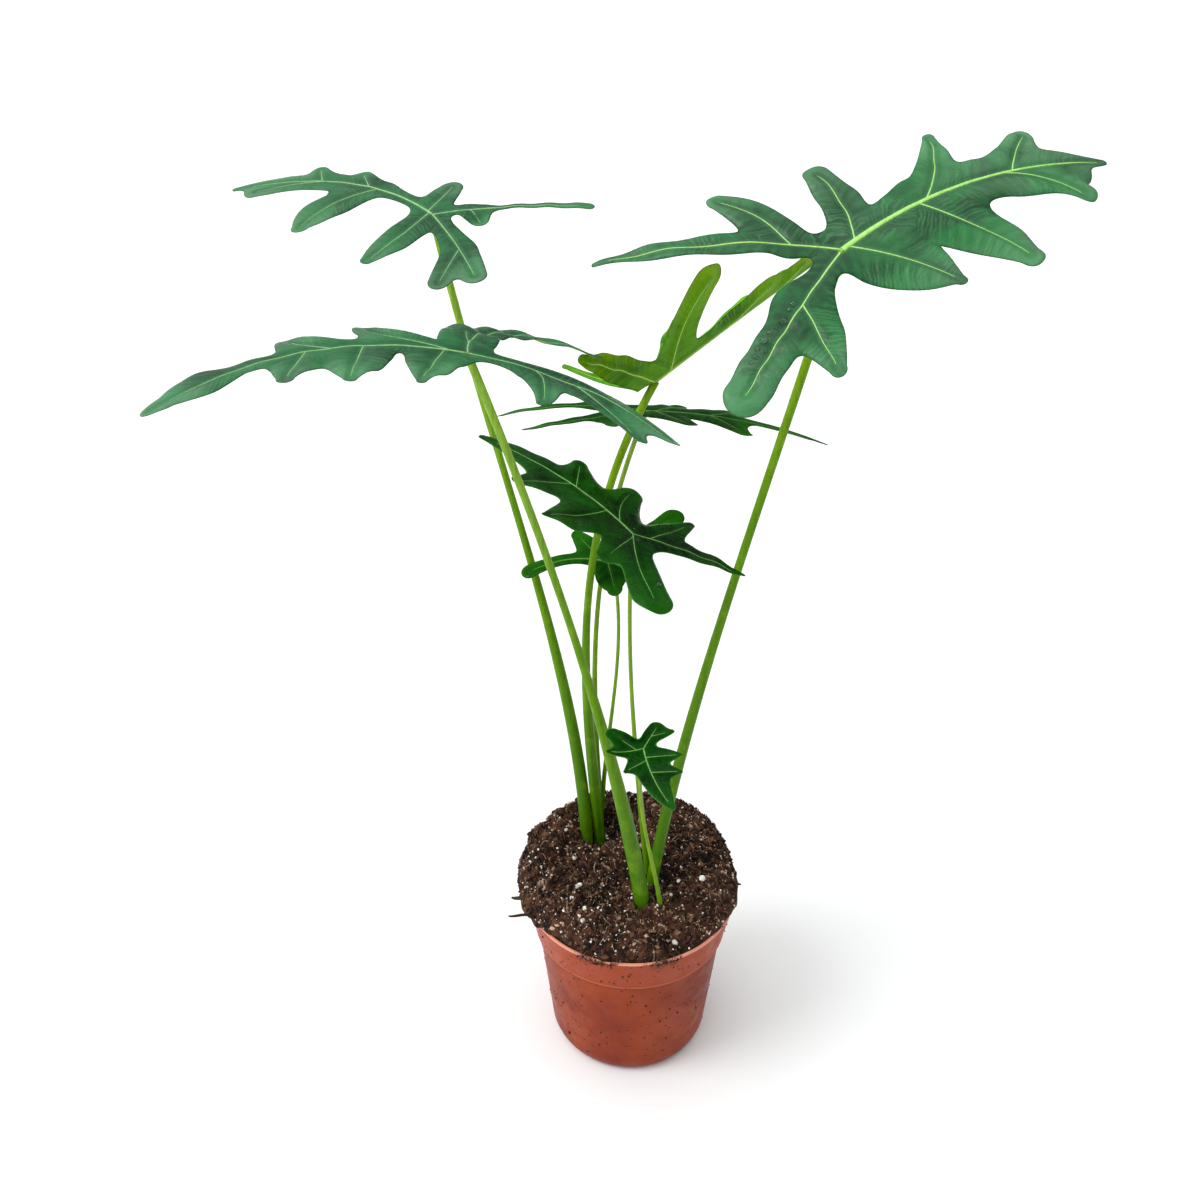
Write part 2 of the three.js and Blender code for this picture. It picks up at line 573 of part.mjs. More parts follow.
function outlinePoint(veins, inner, outer) {
  let [low, high] = [0, 1];
  const at = (share) => [
    THREE.MathUtils.lerp(inner.u, outer.u, share), THREE.MathUtils.lerp(inner.v, outer.v, share),
  ];
  for (let turn = 0; turn < 12; turn++) {
    const middle = (low + high) / 2;
    if (bladeField(veins, ...at(middle)).value < 0) low = middle;
    else high = middle;
  }
  const [u, v] = at(low);
  return { u, v, value: 0 };
}

// Triangles of the lattice, clipped at the outline
function bladeTriangles(veins, cell) {
  const { points, columns, rows } = latticePoints(veins, cell);
  const crossings = new Map();
  const triangles = [];
  const crossing = (inner, outer) => {
    const key = `${inner},${outer}`;
    if (!crossings.has(key)) {
      points.push(outlinePoint(veins, points[inner], points[outer]));
      crossings.set(key, points.length - 1);
    }
    return crossings.get(key);
  };
  const clip = (corners) => {
    const kept = [];
    if (!corners.some((corner) => points[corner].value < 0)) return;
    corners.forEach((corner, i) => {
      const next = corners[(i + 1) % 3];
      const [a, b] = [points[corner].value, points[next].value];
      if (a <= 0) kept.push(corner);
      if (a < 0 && b > 0) kept.push(crossing(corner, next));
      if (a > 0 && b < 0) kept.push(crossing(next, corner));
    });
    if (kept.length >= 3) triangles.push([kept[0], kept[1], kept[2]]);
    if (kept.length === 4) triangles.push([kept[0], kept[2], kept[3]]);
  };
  for (let j = 0; j < rows - 1; j++) {
    for (let i = 0; i < columns - 1; i++) {
      const [a, b] = [j * columns + i, j * columns + i + 1];
      const [c, d] = [a + columns, b + columns];
      if (j % 2 === 0) {
        clip([a, b, c]);
        clip([b, d, c]);
      } else {
        clip([a, b, d]);
        clip([a, d, c]);
      }
    }
  }
  return { points, triangles: largestPiece(triangles) };
}

// Triangles that hang together by their edges; loose scraps are dropped
function largestPiece(triangles) {
  const byEdge = new Map();
  triangles.forEach((corners, t) => corners.forEach((corner, i) => {
    const next = corners[(i + 1) % 3];
    const key = Math.min(corner, next) + "," + Math.max(corner, next);
    byEdge.set(key, [...(byEdge.get(key) ?? []), t]);
  }));
  const group = new Array(triangles.length).fill(-1);
  const sizes = [];
  for (let first = 0; first < triangles.length; first++) {
    if (group[first] >= 0) continue;
    const waiting = [first];
    group[first] = sizes.length;
    let size = 0;
    while (waiting.length) {
      const corners = triangles[waiting.pop()];
      size += 1;
      corners.forEach((corner, i) => {
        const next = corners[(i + 1) % 3];
        for (const other of byEdge.get(Math.min(corner, next) + "," + Math.max(corner, next))) {
          if (group[other] < 0) {
            group[other] = sizes.length;
            waiting.push(other);
          }
        }
      });
    }
    sizes.push(size);
  }
  const biggest = sizes.indexOf(Math.max(...sizes));
  return triangles.filter((_, t) => group[t] === biggest);
}

// Two alike faces, half a thickness above and below, joined along the outline
function bladeBody(leaf) {
  const veins = readVeins(leaf.veins, leaf.blend);
  const { points, triangles } = bladeTriangles(veins, leaf.cell);
  const used = [...new Set(triangles.flat())];
  const number = new Map(used.map((point, i) => [point, i]));
  const frame = leafFrame(leaf);
  const [upper, lower] = [[], []];
  for (const index of used) {
    const { u, v } = points[index];
    const { lift } = bladeField(veins, u, v);
    const middle = bladeSurface(leaf, u, v, lift);
    const half = bladeNormal(leaf, u, v, lift).multiplyScalar(BLADE_THICK / 2);
    upper.push(...middle.clone().add(half).applyMatrix4(frame));
    lower.push(...middle.sub(half).applyMatrix4(frame));
  }
  const faces = [];
  const rim = new Map();
  for (const [a, b, c] of triangles) {
    const [i, j, k] = [number.get(a), number.get(b), number.get(c)];
    faces.push(i, j, k, i + used.length, k + used.length, j + used.length);
    for (const [from, to] of [[i, j], [j, k], [k, i]]) {
      if (!rim.delete(`${to},${from}`)) rim.set(`${from},${to}`, [from, to]);
    }
  }
  for (const [from, to] of rim.values()) {
    faces.push(to, from, from + used.length, to, from + used.length, to + used.length);
  }
  return makeGeometry([...upper, ...lower], faces);
}

// The whole plant
const plant = new THREE.Group();
plant.add(namedMesh("pot", potBody(), POT_ORANGE, 0.55));

let soil = soilBody();
const rhizomes = { left: { centre: [-17, 28], seed: 0.3 }, right: { centre: [12, -20], seed: 1.1 } };
for (const [side, { centre, seed }] of Object.entries(rhizomes)) {
  soil = soil.subtract(rhizome(centre, seed, POCKET_GROW));
  plant.add(namedMesh(`rhizome_${side}`, toGeometry(rhizome(centre, seed, 0)), ROOT_CREAM, 0.8));
}
for (const [name, leaf] of Object.entries(leaves)) {
  const [x, y] = leaf.stem.path[0];
  const hole = new THREE.CylinderGeometry(leaf.stem.low + 0.6, leaf.stem.low + 0.6, 1, STEM_SIDES);
  hole.rotateX(Math.PI / 2).scale(1, 1, HOLE_TOP - RHIZOME_TOP + 2);
  hole.translate(x, y, (HOLE_TOP + RHIZOME_TOP - 2) / 2);
  soil = soil.subtract(toSolid(stemOf(leaf, 0.45)));
  soil = soil.subtract(toSolid(hole));
  plant.add(namedMesh(`petiole_${name}`, stemOf(leaf), STEM_GREEN, 0.45));
  plant.add(namedMesh(`blade_${name}`, bladeBody(leaf), leaf.colour, 0.4));
}
plant.add(namedMesh("soil", toGeometry(soil), SOIL_BROWN, 0.95));

export default plant;
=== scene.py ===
# Potted alocasia portei: the looks of the plant, its soil and its pot.
# Lengths are in millimetres until a mesh is made, and the front of the plant faces -Y.
import math
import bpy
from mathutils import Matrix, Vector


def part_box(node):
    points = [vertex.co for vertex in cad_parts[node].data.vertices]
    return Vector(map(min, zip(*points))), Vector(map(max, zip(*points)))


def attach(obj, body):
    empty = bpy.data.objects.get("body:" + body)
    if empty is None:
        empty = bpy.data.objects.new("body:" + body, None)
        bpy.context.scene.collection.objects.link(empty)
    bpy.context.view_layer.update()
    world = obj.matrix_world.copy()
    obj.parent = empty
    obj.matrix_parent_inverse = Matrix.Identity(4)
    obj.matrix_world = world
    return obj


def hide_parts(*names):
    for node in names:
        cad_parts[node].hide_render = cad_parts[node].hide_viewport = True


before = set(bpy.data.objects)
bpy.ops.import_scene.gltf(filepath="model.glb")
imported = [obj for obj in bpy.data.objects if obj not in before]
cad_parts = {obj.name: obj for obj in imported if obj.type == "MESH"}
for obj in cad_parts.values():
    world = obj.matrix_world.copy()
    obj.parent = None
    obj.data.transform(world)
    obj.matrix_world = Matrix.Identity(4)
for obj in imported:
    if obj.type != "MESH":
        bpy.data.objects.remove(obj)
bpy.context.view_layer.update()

from types import SimpleNamespace

import bmesh
import bpy
import numpy as np
from mathutils import Matrix, Vector

MM = 0.001
TURN = 2 * math.pi
NOISE_TABLE = 4096

# Blades: the same sheets as in the frame, finer and with relief
BLADE_THICK = 0.6
EDGE_SHARE = 0.22
EDGE_ROUND = 1.6
BLEND = 3.2
SMALL_BLEND = 1.8
GRASP = 3.0
VEIN_STEPS = 24
FINE_CELL = 1.1
SMALL_CELL = 0.75
SNAP = 0.36
SNAP_STEP = 0.05
SNAP_ROUNDS = 3
LEAST_SLOPE = 0.2
CLIP_ROUNDS = 10
NORMAL_STEP = 0.3
FAR = 99
OUTLINE_MARGIN = 17.0
RIPPLE = 0.7
RIPPLE_LENGTH = 17.0
RIPPLE_REACH = 20
CREASE = 3.0
BEND_LENGTH = 100
LEAST_BEND = 1e-7
PLEAT_LENGTH = 5.4
PLEAT_SLANT = 0.5
PLEAT_SWAY = 3.0
PLEAT_SWAY_LENGTH = 13.0
PLEAT_HEIGHT = 0.25
PLEAT_FADE = 0.82
PALE_END = 0.4
EDGE_CURL = 1.3
EDGE_CURL_REACH = 2.6
FLAT_BY_RIB = (2, 16)
PLEAT_RISE = (0.5, 5)
THREADS_A_PLEAT = 2.3
CHANNEL_DEPTH = 0.9
CHANNEL_WIDTH = 3.0
FLUTTER = 2.6
FLUTTER_LENGTH = 21.0
RIB_SIDES = 10
RIB_STEP = 1.8
RIB_PROUD = 0.38
RIB_RIM = 9.0
RIB_RISE = 0.5
RIB_SINK = 0.9
MIDRIB_SINK = 1.15
MIDRIB_END = 0.24
SIDE_RIB_END = 0.4
BRANCH_SHARE = 0.8
RIB_TAPER = 0.8
RIB_TIP = 0.15
RIB_REACH = 0.98
RIB_BEYOND = 0.6
RIB_LEAST = 0.1

# Stems
STEM_SIDES = 24
STEM_STEPS = 90
STEM_SEAT = 0.3
RHIZOME_TOP = 90
SHEATH_START = 0.15
SHEATH_END = 0.65
GROOVE_END = 0.42
SHEATH_LIP = 0.09
SHEATH_GROOVE = 0.2
GROOVE_REACH = 0.28
LIP_TURN = 0.62
LIP_REACH = 0.26
STEM_RIDGE = 0.008
STEM_RIDGES = 11

# Pot, from the frame's box and the sizes of its rim band
pot_low, pot_high = (np.array(corner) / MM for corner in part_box("pot"))
POT_TOP_RADIUS = (pot_high[0] - pot_low[0]) / 2
POT_HEIGHT = pot_high[2]
POT_WALL = 1.6
POT_LIP = 0.6
BAND_LOW = POT_HEIGHT - 22.6
BAND_LOW_RADIUS = 53.8
BAND_STEP = 1.9
BAND_EDGE = 0.5
POT_BASE_RADIUS = 44
POT_BASE_EDGE = 7
POT_FLOOR = 2
POT_SIDES = 192
DRAIN_RADIUS = 5
DRAIN_CIRCLE = 27
DRAIN_COUNT = 6

# Soil
SOIL_RIM_HEIGHT = 100.7
SOIL_CROWN = 17
SOIL_STEEPNESS = 6
SOIL_BACK_RISE = 13
SOIL_BACK_HEADING = math.radians(100)
SOIL_BACK_START = 22
SOIL_BACK_END = 40
SOIL_OVERHANG = 2.5
SOIL_FRONT_DRAW = 3.7
SOIL_BARE_START = 10
SOIL_BARE_END = 45
SOIL_LEFT_BULGE = 2.5
SOIL_LEFT_REACH = 50
SOIL_CLEARANCE = 2.2
SOIL_INSET = 0.7
SOIL_RAGGED = 0.6
SOIL_SPILL = 1.8
SOIL_EDGE_DROP = 0.16
SOIL_LUMP = 1.6
SOIL_LUMP_FADE = 0.6
SOIL_FRONT_DIP = 1.2
SOIL_FLOOR = 2.4
SOIL_CORE = 0.05
FLANK_SINK = 1.4
FLANK_ROUGH = 0.9
FLANK_BULGE = 0.8
SOIL_RINGS = 90
SOIL_SPOKES = 330
FLANK_RINGS = 9
CRUMB_COUNT = 9200
FLANK_CRUMB_COUNT = 5200
CLOD_COUNT = 420
PERLITE_COUNT = 640
BARK_COUNT = 150
FIBRE_COUNT = 1500
THREAD_STEPS = 9
THREAD_ASIDE = (0.13, 0.31, 0.94)
ROOT_COUNT = 54
SPECK_COUNT = 350
FALLEN_SPECK_COUNT = 90
SPILL_LEFT = -110
SPILL_RIGHT = -74


# Seeded smooth noise between -1 and 1 at flat or solid points, on a lattice of the given cell size
def lattice_noise(points, size, seed):
    random = np.random.default_rng(seed)
    table = random.uniform(-1, 1, NOISE_TABLE)
    order = random.permutation(NOISE_TABLE)
    scaled = np.zeros((len(points), 3))
    scaled[:, :points.shape[1]] = points / size
    cell = np.floor(scaled).astype(int)
    part = scaled - cell
    part = part * part * (3 - 2 * part)
    total = np.zeros(len(scaled))
    for corner in np.ndindex(2, 2, 2):
        weight = np.prod(np.where(corner, part, 1 - part), axis=1)
        i, j, k = (cell + corner).T
        step = order[(order[i % NOISE_TABLE] + j) % NOISE_TABLE]
        total += weight * table[order[(step + k) % NOISE_TABLE]]
    return total


def smooth_step(low, high, value):
    share = np.clip((value - low) / (high - low), 0, 1)
    return share * share * (3 - 2 * share)


# Points at a radius, an angle and a height round the pot's axis
def polar(radius, angle, z):
    return np.stack(np.broadcast_arrays(radius * np.cos(angle), radius * np.sin(angle), z), axis=-1)


# A bump of height 1 at the centre, that fades over the given reach
def bell(value, centre, reach):
    return np.exp(-((value - centre) / reach) ** 2)


# Angles of so many spokes, all the way round
def spokes(count):
    return np.arange(count) * TURN / count


# Quads between rings of points, each ring after the other, and a cap at both ends
def tube_faces(rings, sides):
    faces = []
    for ring in range(rings - 1):
        low, high = ring * sides, (ring + 1) * sides
        for side in range(sides):
            after = (side + 1) % sides
            faces.append([low + side, low + after, high + after, high + side])
    return faces + [list(range(sides))[::-1], list(range((rings - 1) * sides, rings * sides))]


# A mesh object from millimetre points and a list of faces
def make_piece(name, points, faces, materials, picks=None, smooth=True):
    mesh = bpy.data.meshes.new(name)
    mesh.from_pydata((np.asarray(points) * MM).tolist(), [], [tuple(face) for face in faces])
    for material in materials:
        mesh.materials.append(material)
    if picks is not None:
        mesh.polygons.foreach_set("material_index", np.asarray(picks, dtype=np.int32))
    mesh.polygons.foreach_set("use_smooth", np.full(len(mesh.polygons), smooth))
    mesh.update()
    piece = bpy.data.objects.new(name, mesh)
    bpy.context.scene.collection.objects.link(piece)
    return piece


def unit(vectors):
    return vectors / np.linalg.norm(vectors, axis=-1, keepdims=True)


# Rings of points round paths, at the given angles and radii
def rings_along(paths, radii, angle, aside):
    ahead = unit(np.gradient(paths, axis=-2))
    side = unit(np.cross(ahead, aside))
    other = np.cross(ahead, side)
    ring = side[..., None, :] * np.cos(angle)[:, None] + other[..., None, :] * np.sin(angle)[:, None]
    return (paths[..., None, :] + ring * radii[..., None]).reshape(-1, 3)


# Numbers at the points or corners of a mesh, for its material to read
def mark(piece, domain="POINT", **rows):
    for name, values in rows.items():
        layer = piece.data.attributes.new(name, "FLOAT", domain)
        layer.data.foreach_set("value", np.asarray(values, dtype=np.float32))


# A piece rides on the one body, in place of its node where it has one
def settle(piece, slot, *nodes):
    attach(piece, "root")
    if nodes:
        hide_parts(*nodes)


# Colours are written as the eye sees them, from 0 to 255
def rgb(red, green, blue):
    linear = [(part / 255) ** 2.2 for part in (red, green, blue)]
    return (*linear, 1.0)


class Tone:
    """One output of a shader node, with short sums."""

    def __init__(self, shader, socket):
        self.shader = shader
        self.socket = socket

    def __add__(self, other):
        return self.shader.maths("ADD", self, other)

    def __mul__(self, other):
        return self.shader.maths("MULTIPLY", self, other)

    def __pow__(self, other):
        return self.shader.maths("POWER", self, other)

    def span(self, low, high, new_low=0.0, new_high=1.0):
        numbers = enumerate((self, low, high, new_low, new_high))
        return self.shader.node("MapRange", numbers, interpolation_type="SMOOTHSTEP")


class Shader:
    """Adds nodes to one node tree, with short calls."""

    def __init__(self, tree):
        self.tree = tree

    def feed(self, socket, value):
        if isinstance(value, Tone):
            self.tree.links.new(value.socket, socket)
        else:
            socket.default_value = rgb(*value) if isinstance(value, tuple) else value

    def node(self, kind, inputs=(), output=0, **settings):
        made = self.tree.nodes.new("ShaderNode" + kind)
        for key, value in settings.items():
            setattr(made, key, value)
        for key, value in dict(inputs).items():
            self.feed(made.inputs[key], value)
        return Tone(self, made.outputs[output])

    def maths(self, operation, *numbers):
        return self.node("Math", enumerate(numbers), operation=operation)

    def wave(self, phase):
        return self.maths("SINE", phase * TURN)

    def part(self, vector, axis):
        return self.node("SeparateXYZ", dict(Vector=vector), axis)

    def place(self):
        return self.node("TexCoord", output="Object")

    def attribute(self, name):
        return self.node("Attribute", output="Fac", attribute_name=name)

    def noise(self, scale, detail=3, roughness=0.55, stretch=None):
        place = self.place()
        if stretch:
            place = self.node("Mapping", dict(Vector=place, Scale=Vector(stretch)))
        return self.node("TexNoise", dict(Vector=place, Scale=scale, Detail=detail, Roughness=roughness))

    def bump(self, height, distance, strength):
        return self.node("Bump", dict(Height=height, Distance=distance, Strength=strength))

    # Coats of colour, one over the other, each with its share
    def coats(self, colour, *coats):
        for share, coat in coats:
            inputs = {0: share, 6: colour, 7: coat}
            colour = self.node("Mix", inputs, 2, data_type="RGBA")
        return colour


class Skin(Shader):
    """A new material."""

    def __init__(self, name):
        self.material = bpy.data.materials.new(name)
        self.material.use_nodes = True
        super().__init__(self.material.node_tree)

    def finish(self, colour, roughness, normal=None, **constants):
        inputs = self.tree.nodes["Principled BSDF"].inputs
        self.feed(inputs["Base Color"], colour)
        self.feed(inputs["Roughness"], roughness)
        if normal:
            self.feed(inputs["Normal"], normal)
        for name, value in constants.items():
            inputs[name.replace("_", " ")].default_value = value
        return self.material


# Leaf faces: soft stripes along the pleats, of painted light on their crests and painted shade in their
# troughs; paler by the veins, with a painted shadow beside the ribs; a painted sheen towards the lobe ends,
# among paler patches; and a thin margin
def leaf_material(name, deep, light, halo, rough, shine, strength, margin):
    skin = Skin(name)
    rim, near, ends = (skin.attribute(key) for key in ("rim", "halo", "ends"))
    phase, fade = skin.attribute("phase"), skin.attribute("fade")
    pleat = skin.wave(phase + 0.25)
    thread = skin.wave((skin.noise(150, 2) * 0.9 + phase) * THREADS_A_PLEAT)
    thread = thread.span(-1, 1) ** 4 * skin.noise(55, 2).span(0.4, 0.7) * fade
    pleat_shade_share = rim.span(0.8, 6, 1, 0.45) * fade
    # Paler patches at random, and a painted sheen that grows towards the lobe ends
    worn = skin.noise(17).span(0.5, 0.64, 0, 0.5) + ends * 0.75
    shadow = near.span(0.6, 6, 0.3, 0) * near.span(0, 0.6) * ends.span(0, 0.6, 1, 0)
    colour = skin.coats(
        deep,
        (skin.noise(30, 5, 0.6).span(0.4, 0.6), light),
        # Painted light on the pleats' crests and painted shade in their troughs, strongest near the rim
        (pleat.span(-0.4, 1, 0, 0.4) * pleat_shade_share, light),
        (pleat.span(0.2, -1, 0, 0.25) * pleat_shade_share, deep),
        (thread * 0.22, halo),
        (near.span(0, 2.2, 0.25, 0), halo),
        (worn * near.span(0.4, 3.6) * 0.45, halo),
        (shadow, deep),
        (skin.noise(520, 3, 0.7).span(0.5, 0.75, 0, 0.18), deep),
        (rim.span(0.05, 0.55, 0.6, 0), margin),
    )
    relief = skin.noise(210, 4, 0.6) * 1.2 + skin.noise(620) * 0.5 + thread * 0.5
    return skin.finish(
        colour, skin.noise(120, 4).span(0.3, 0.7, rough - 0.07, rough + 0.09),
        skin.bump(relief, 0.00022, strength), Specular_IOR_Level=shine,
        Subsurface_Weight=0.08, Subsurface_Radius=(0.5, 1.0, 0.2), Subsurface_Scale=0.001,
    )


# Ribs: pale lines, smooth and a little glossy
def rib_material(name, pale, green):
    skin = Skin(name)
    streak = skin.noise(420, 3, 0.6).span(0.35, 0.75, 0, 0.7)
    return skin.finish(
        skin.coats(pale, (streak, green)), 0.42, skin.bump(skin.noise(1500, 2), 0.00008, 0.5),
        Subsurface_Weight=0.1, Subsurface_Radius=(0.6, 1.0, 0.3), Subsurface_Scale=0.001,
    )


# Stems: deep green at the foot and lime towards the top, with fine streaks along them
def stem_material(name, foot, middle, top):
    skin = Skin(name)
    height = skin.attribute("share")
    streak = skin.noise(1, 4, 0.65, (700, 700, 26))
    fleck = skin.noise(1, 2, 0.6, (900, 900, 300))
    colour = skin.coats(
        foot,
        (height.span(0.12, 0.5), middle),
        (height.span(0.55, 1), top),
        (streak.span(0.35, 0.7, 0, 0.4), (56, 98, 8)),
        (skin.noise(90).span(0.5, 0.75, 0, 0.28), (150, 188, 44)),
        (fleck.span(0.62, 0.72, 0, 0.3), (44, 74, 20)),
    )
    return skin.finish(
        colour, skin.noise(200).span(0.3, 0.7, 0.32, 0.46), skin.bump(streak, 0.0002, 0.6),
        Subsurface_Weight=0.12, Subsurface_Radius=(0.7, 1.2, 0.3), Subsurface_Scale=0.0015,
        Specular_IOR_Level=0.12,
    )


# The pot: terracotta plastic with a painted shadow under its band, painted highlights along the band's lower
# edge and the top of the rim, dust and specks
def pot_material():
    skin = Skin("terracotta_plastic")
    height = skin.part(skin.place(), "Z") * (1 / MM)
    band = height.span(BAND_LOW - 0.6, BAND_LOW - 0.3)
    dust = skin.noise(1, 6, 0.7, (60, 60, 110)).span(0.56, 0.72, 0, 0.35)
    spot = skin.node("TexVoronoi", dict(Vector=skin.place(), Scale=250), "Distance")
    dot = spot.span(0.12, 0.24, 1, 0) * skin.noise(45, 2).span(0.5, 0.56)
    colour = skin.coats(
        (122, 40, 9),
        (skin.noise(26, 5, 0.6).span(0.3, 0.7), (152, 61, 20)),
        # Painted shadow under the band's step
        (height.span(BAND_LOW - 4.5, BAND_LOW - 0.8, 0, 0.9), (76, 24, 8)),
        (band, (158, 64, 30)),
        # Painted highlights: a pale line along the band's lower edge, and another along the top of the rim
        (height.span(BAND_LOW + 1.6, BAND_LOW + 0.4, 0, 0.4) * band, (206, 112, 76)),
        (height.span(POT_HEIGHT - 1.7, POT_HEIGHT - 1, 0, 0.85), (236, 160, 134)),
        (dust, (112, 58, 40)),
        (dot * 0.85, (58, 34, 26)),
    )
    relief = skin.noise(1800, 2) * 0.4 + skin.noise(1, 3, 0.5, (600, 600, 40)) + dot * 1.5
    gloss = skin.noise(120, 4).span(0.3, 0.7, 0.36, 0.52) + dust * 0.6
    return skin.finish(colour, gloss, skin.bump(relief, 0.00012, 0.6), Specular_IOR_Level=0.16)


# Soil and what lies in it take a brown from each lump's own tone
def earth_material(name, dark, middle, pale, rough=0.92, grain=1400.0, depth=0.0004):
    skin = Skin(name)
    fine = skin.noise(grain, 4, 0.7)
    mixed = (fine + -0.5) * 0.9 + skin.attribute("tone")
    colour = skin.coats(dark, (mixed.span(0.05, 0.6), middle), (mixed.span(0.6, 1.05), pale))
    normal = skin.bump(skin.noise(grain * 0.7, 5, 0.7), depth, 0.9)
    return skin.finish(colour, fine.span(0.3, 0.7, rough - 0.12, rough), normal, Specular_IOR_Level=0.25)


def water_material():
    skin = Skin("water")
    clear = skin.coats((250, 255, 250), (skin.noise(300), (255, 255, 255)))
    return skin.finish(clear, 0.02, IOR=1.45, Transmission_Weight=1.0, Specular_IOR_Level=1.0)


def rhizome_material():
    skin = Skin("rhizome_skin")
    rings = skin.noise(1, 4, 0.6, (90, 90, 420))
    colour = skin.coats((196, 170, 128), (rings.span(0.35, 0.65), (120, 90, 62)))
    return skin.finish(colour, 0.8, skin.bump(rings, 0.0006, 0.8))


# Each kind of leaf: deep, light and halo colours, roughness and shine of its upper side and of its
# underside, colours of its ribs, and its margin
PALE_UNDER = ((66, 112, 26), (98, 146, 48), (126, 170, 76), 0.5, 0.2)
PLAIN_MARGIN = (46, 44, 30)
LEAF_KINDS = dict(
    worn=(
        ((2, 64, 34), (30, 106, 56), (106, 160, 116), 0.33, 0.2), PALE_UNDER,
        ((142, 198, 122), (100, 166, 92)), PLAIN_MARGIN,
    ),
    mature=(
        ((2, 66, 32), (31, 110, 54), (106, 160, 116), 0.3, 0.22), PALE_UNDER,
        ((172, 228, 118), (128, 196, 88)), PLAIN_MARGIN,
    ),
    olive=(
        ((22, 96, 0), (84, 158, 0), (136, 194, 6), 0.24, 0.1),
        ((40, 92, 0), (86, 142, 0), (144, 186, 8), 0.34, 0.05),
        ((170, 212, 100), (130, 184, 60)), (60, 96, 0),
    ),
    shade=(
        ((8, 56, 0), (30, 98, 4), (56, 120, 24), 0.5, 0.04),
        ((26, 74, 4), (50, 104, 12), (80, 130, 30), 0.5, 0.04),
        ((96, 146, 60), (60, 112, 34)), PLAIN_MARGIN,
    ),
    dark=(
        ((0, 30, 0), (4, 72, 0), (46, 114, 26), 0.26, 0.1),
        ((36, 78, 14), (56, 100, 24), (92, 138, 50), 0.45, 0.15),
        ((126, 180, 96), (82, 142, 58)), (70, 140, 44),
    ),
)
LEAF_SKINS = {
    kind: [
        leaf_material(f"leaf_top_{kind}", *top, 0.8, margin),
        leaf_material(f"leaf_under_{kind}", *under, 0.5, PLAIN_MARGIN),
        rib_material(f"rib_{kind}", *ribs),
    ]
    for kind, (top, under, ribs, margin) in LEAF_KINDS.items()
}
STEM_SKINS = dict(
    strong=stem_material("stem_strong", (74, 118, 0), (92, 136, 0), (120, 160, 14)),
    pale=stem_material("stem_pale", (74, 118, 0), (100, 146, 6), (150, 192, 66)),
    thin=stem_material("stem_thin", (88, 134, 8), (122, 158, 38), (138, 166, 62)),
)


# Veins in blade coordinates, with their paths and half widths
def bezier(vein, share):
    share = np.asarray(share, float)[..., None]
    rest = 1 - share
    return rest ** 2 * vein.start + 2 * rest * share * vein.bend + share ** 2 * vein.end


# Main veins start at the stem; a side vein leaves the vein that it is named after, or else the midrib
def read_veins(rows):
    veins = {}
    for name, (place, u, v, bow, first, middle, last, *rise) in rows.items():
        parent = None if name in ("mid", "back_left", "back_right") else veins.get(name[:-2], veins["mid"])
        start = bezier(parent, place) if parent else np.zeros(2)
        base = parent.base + parent.lift * place ** 2 if parent else 0
        end = np.array([u, v], float)
        reach = end - start
        across = np.array([-reach[1], reach[0]]) / np.hypot(*reach)
        vein = SimpleNamespace(
            name=name, start=start, bend=(start + end) / 2 + 2 * bow * across, end=end,
            base=base, lift=sum(rise), order=name.count("_") + bool(parent),
            widths=(first, 4 * middle - 3 * first - last, 2 * first + 2 * last - 4 * middle),
        )
        vein.path = bezier(vein, np.linspace(0, 1, VEIN_STEPS + 1))
        steps = np.hypot(*np.diff(vein.path, axis=0).T)
        vein.run = np.concatenate([[0], np.cumsum(steps)])
        veins[name] = vein
    return list(veins.values())


LEAVES = {}


# Each leaf: the strength of its pleats and ripple, and the share of the midrib's width that the other
# main veins have; the place where its stem joins the blade, the blade's turn, and its bend over 100 mm
# (the front droops, the back sags and the sides curve down); the kind of its skin, the midrib's half
# width; the stem's foot and two more places on it, its half widths and the side of its groove; the
# veins, and those of them that are plain, without a rib.
# Each vein: its place on the vein that it leaves, end u, end v, bow, half width of the blade at its
# start, middle and end, and the lift of its end where it has one.
# u runs along the midrib and v to the leaf's left, from the place where the stem joins the blade.
def add_leaf(name, veins, plain=(), fold=0, cell=FINE_CELL, blend=BLEND, **rows):
    LEAVES[name] = SimpleNamespace(
        name=name, veins=read_veins(veins), plain=plain, fold=fold, cell=cell, blend=blend, **rows,
    )


add_leaf(
    "a", pleats=1, ripple=1, side_rib=0.34,
    apex=(83, 0, 452), heading=24, pitch=20, roll=25, droop=14, sag=6, camber=8,
    kind="mature", rib=1.4,
    stem=((8.2, -17), (26.5, -11, 211), (54.3, -5, 332)), low=3, top=2, groove=150,
    plain=("right_4",),
    veins=dict(
        mid=(0, 140, -7, 8, 3, 12, 2),
        back_left=(0, -86, 60, -6, 1, 5.5, 1),
        back_right=(0, -73, -38, -1, 3, 8, 9),
        left_1=(0.05, 18, 43, -3, 6, 9, 6.5),
        left_2=(0.33, 75, 38, -3, 8, 8, 3),
        left_3=(0.66, 116, 21, 1, 7, 8, 5),
        right_1=(0.02, 29, -40, 2, 11, 16, 3),
        right_2=(0.3, 63, -43, 2, 12, 15, 6),
        right_3=(0.62, 113, -22, 4, 11, 12, 6),
        right_4=(0.8, 123, -12, 1, 5, 7, 3),
        back_left_1=(0.2, -25, 56, -3, 7, 8.5, 5),
        back_right_1=(0.4, -37, -49, 0, 12, 10, 3.5),
    ),
)
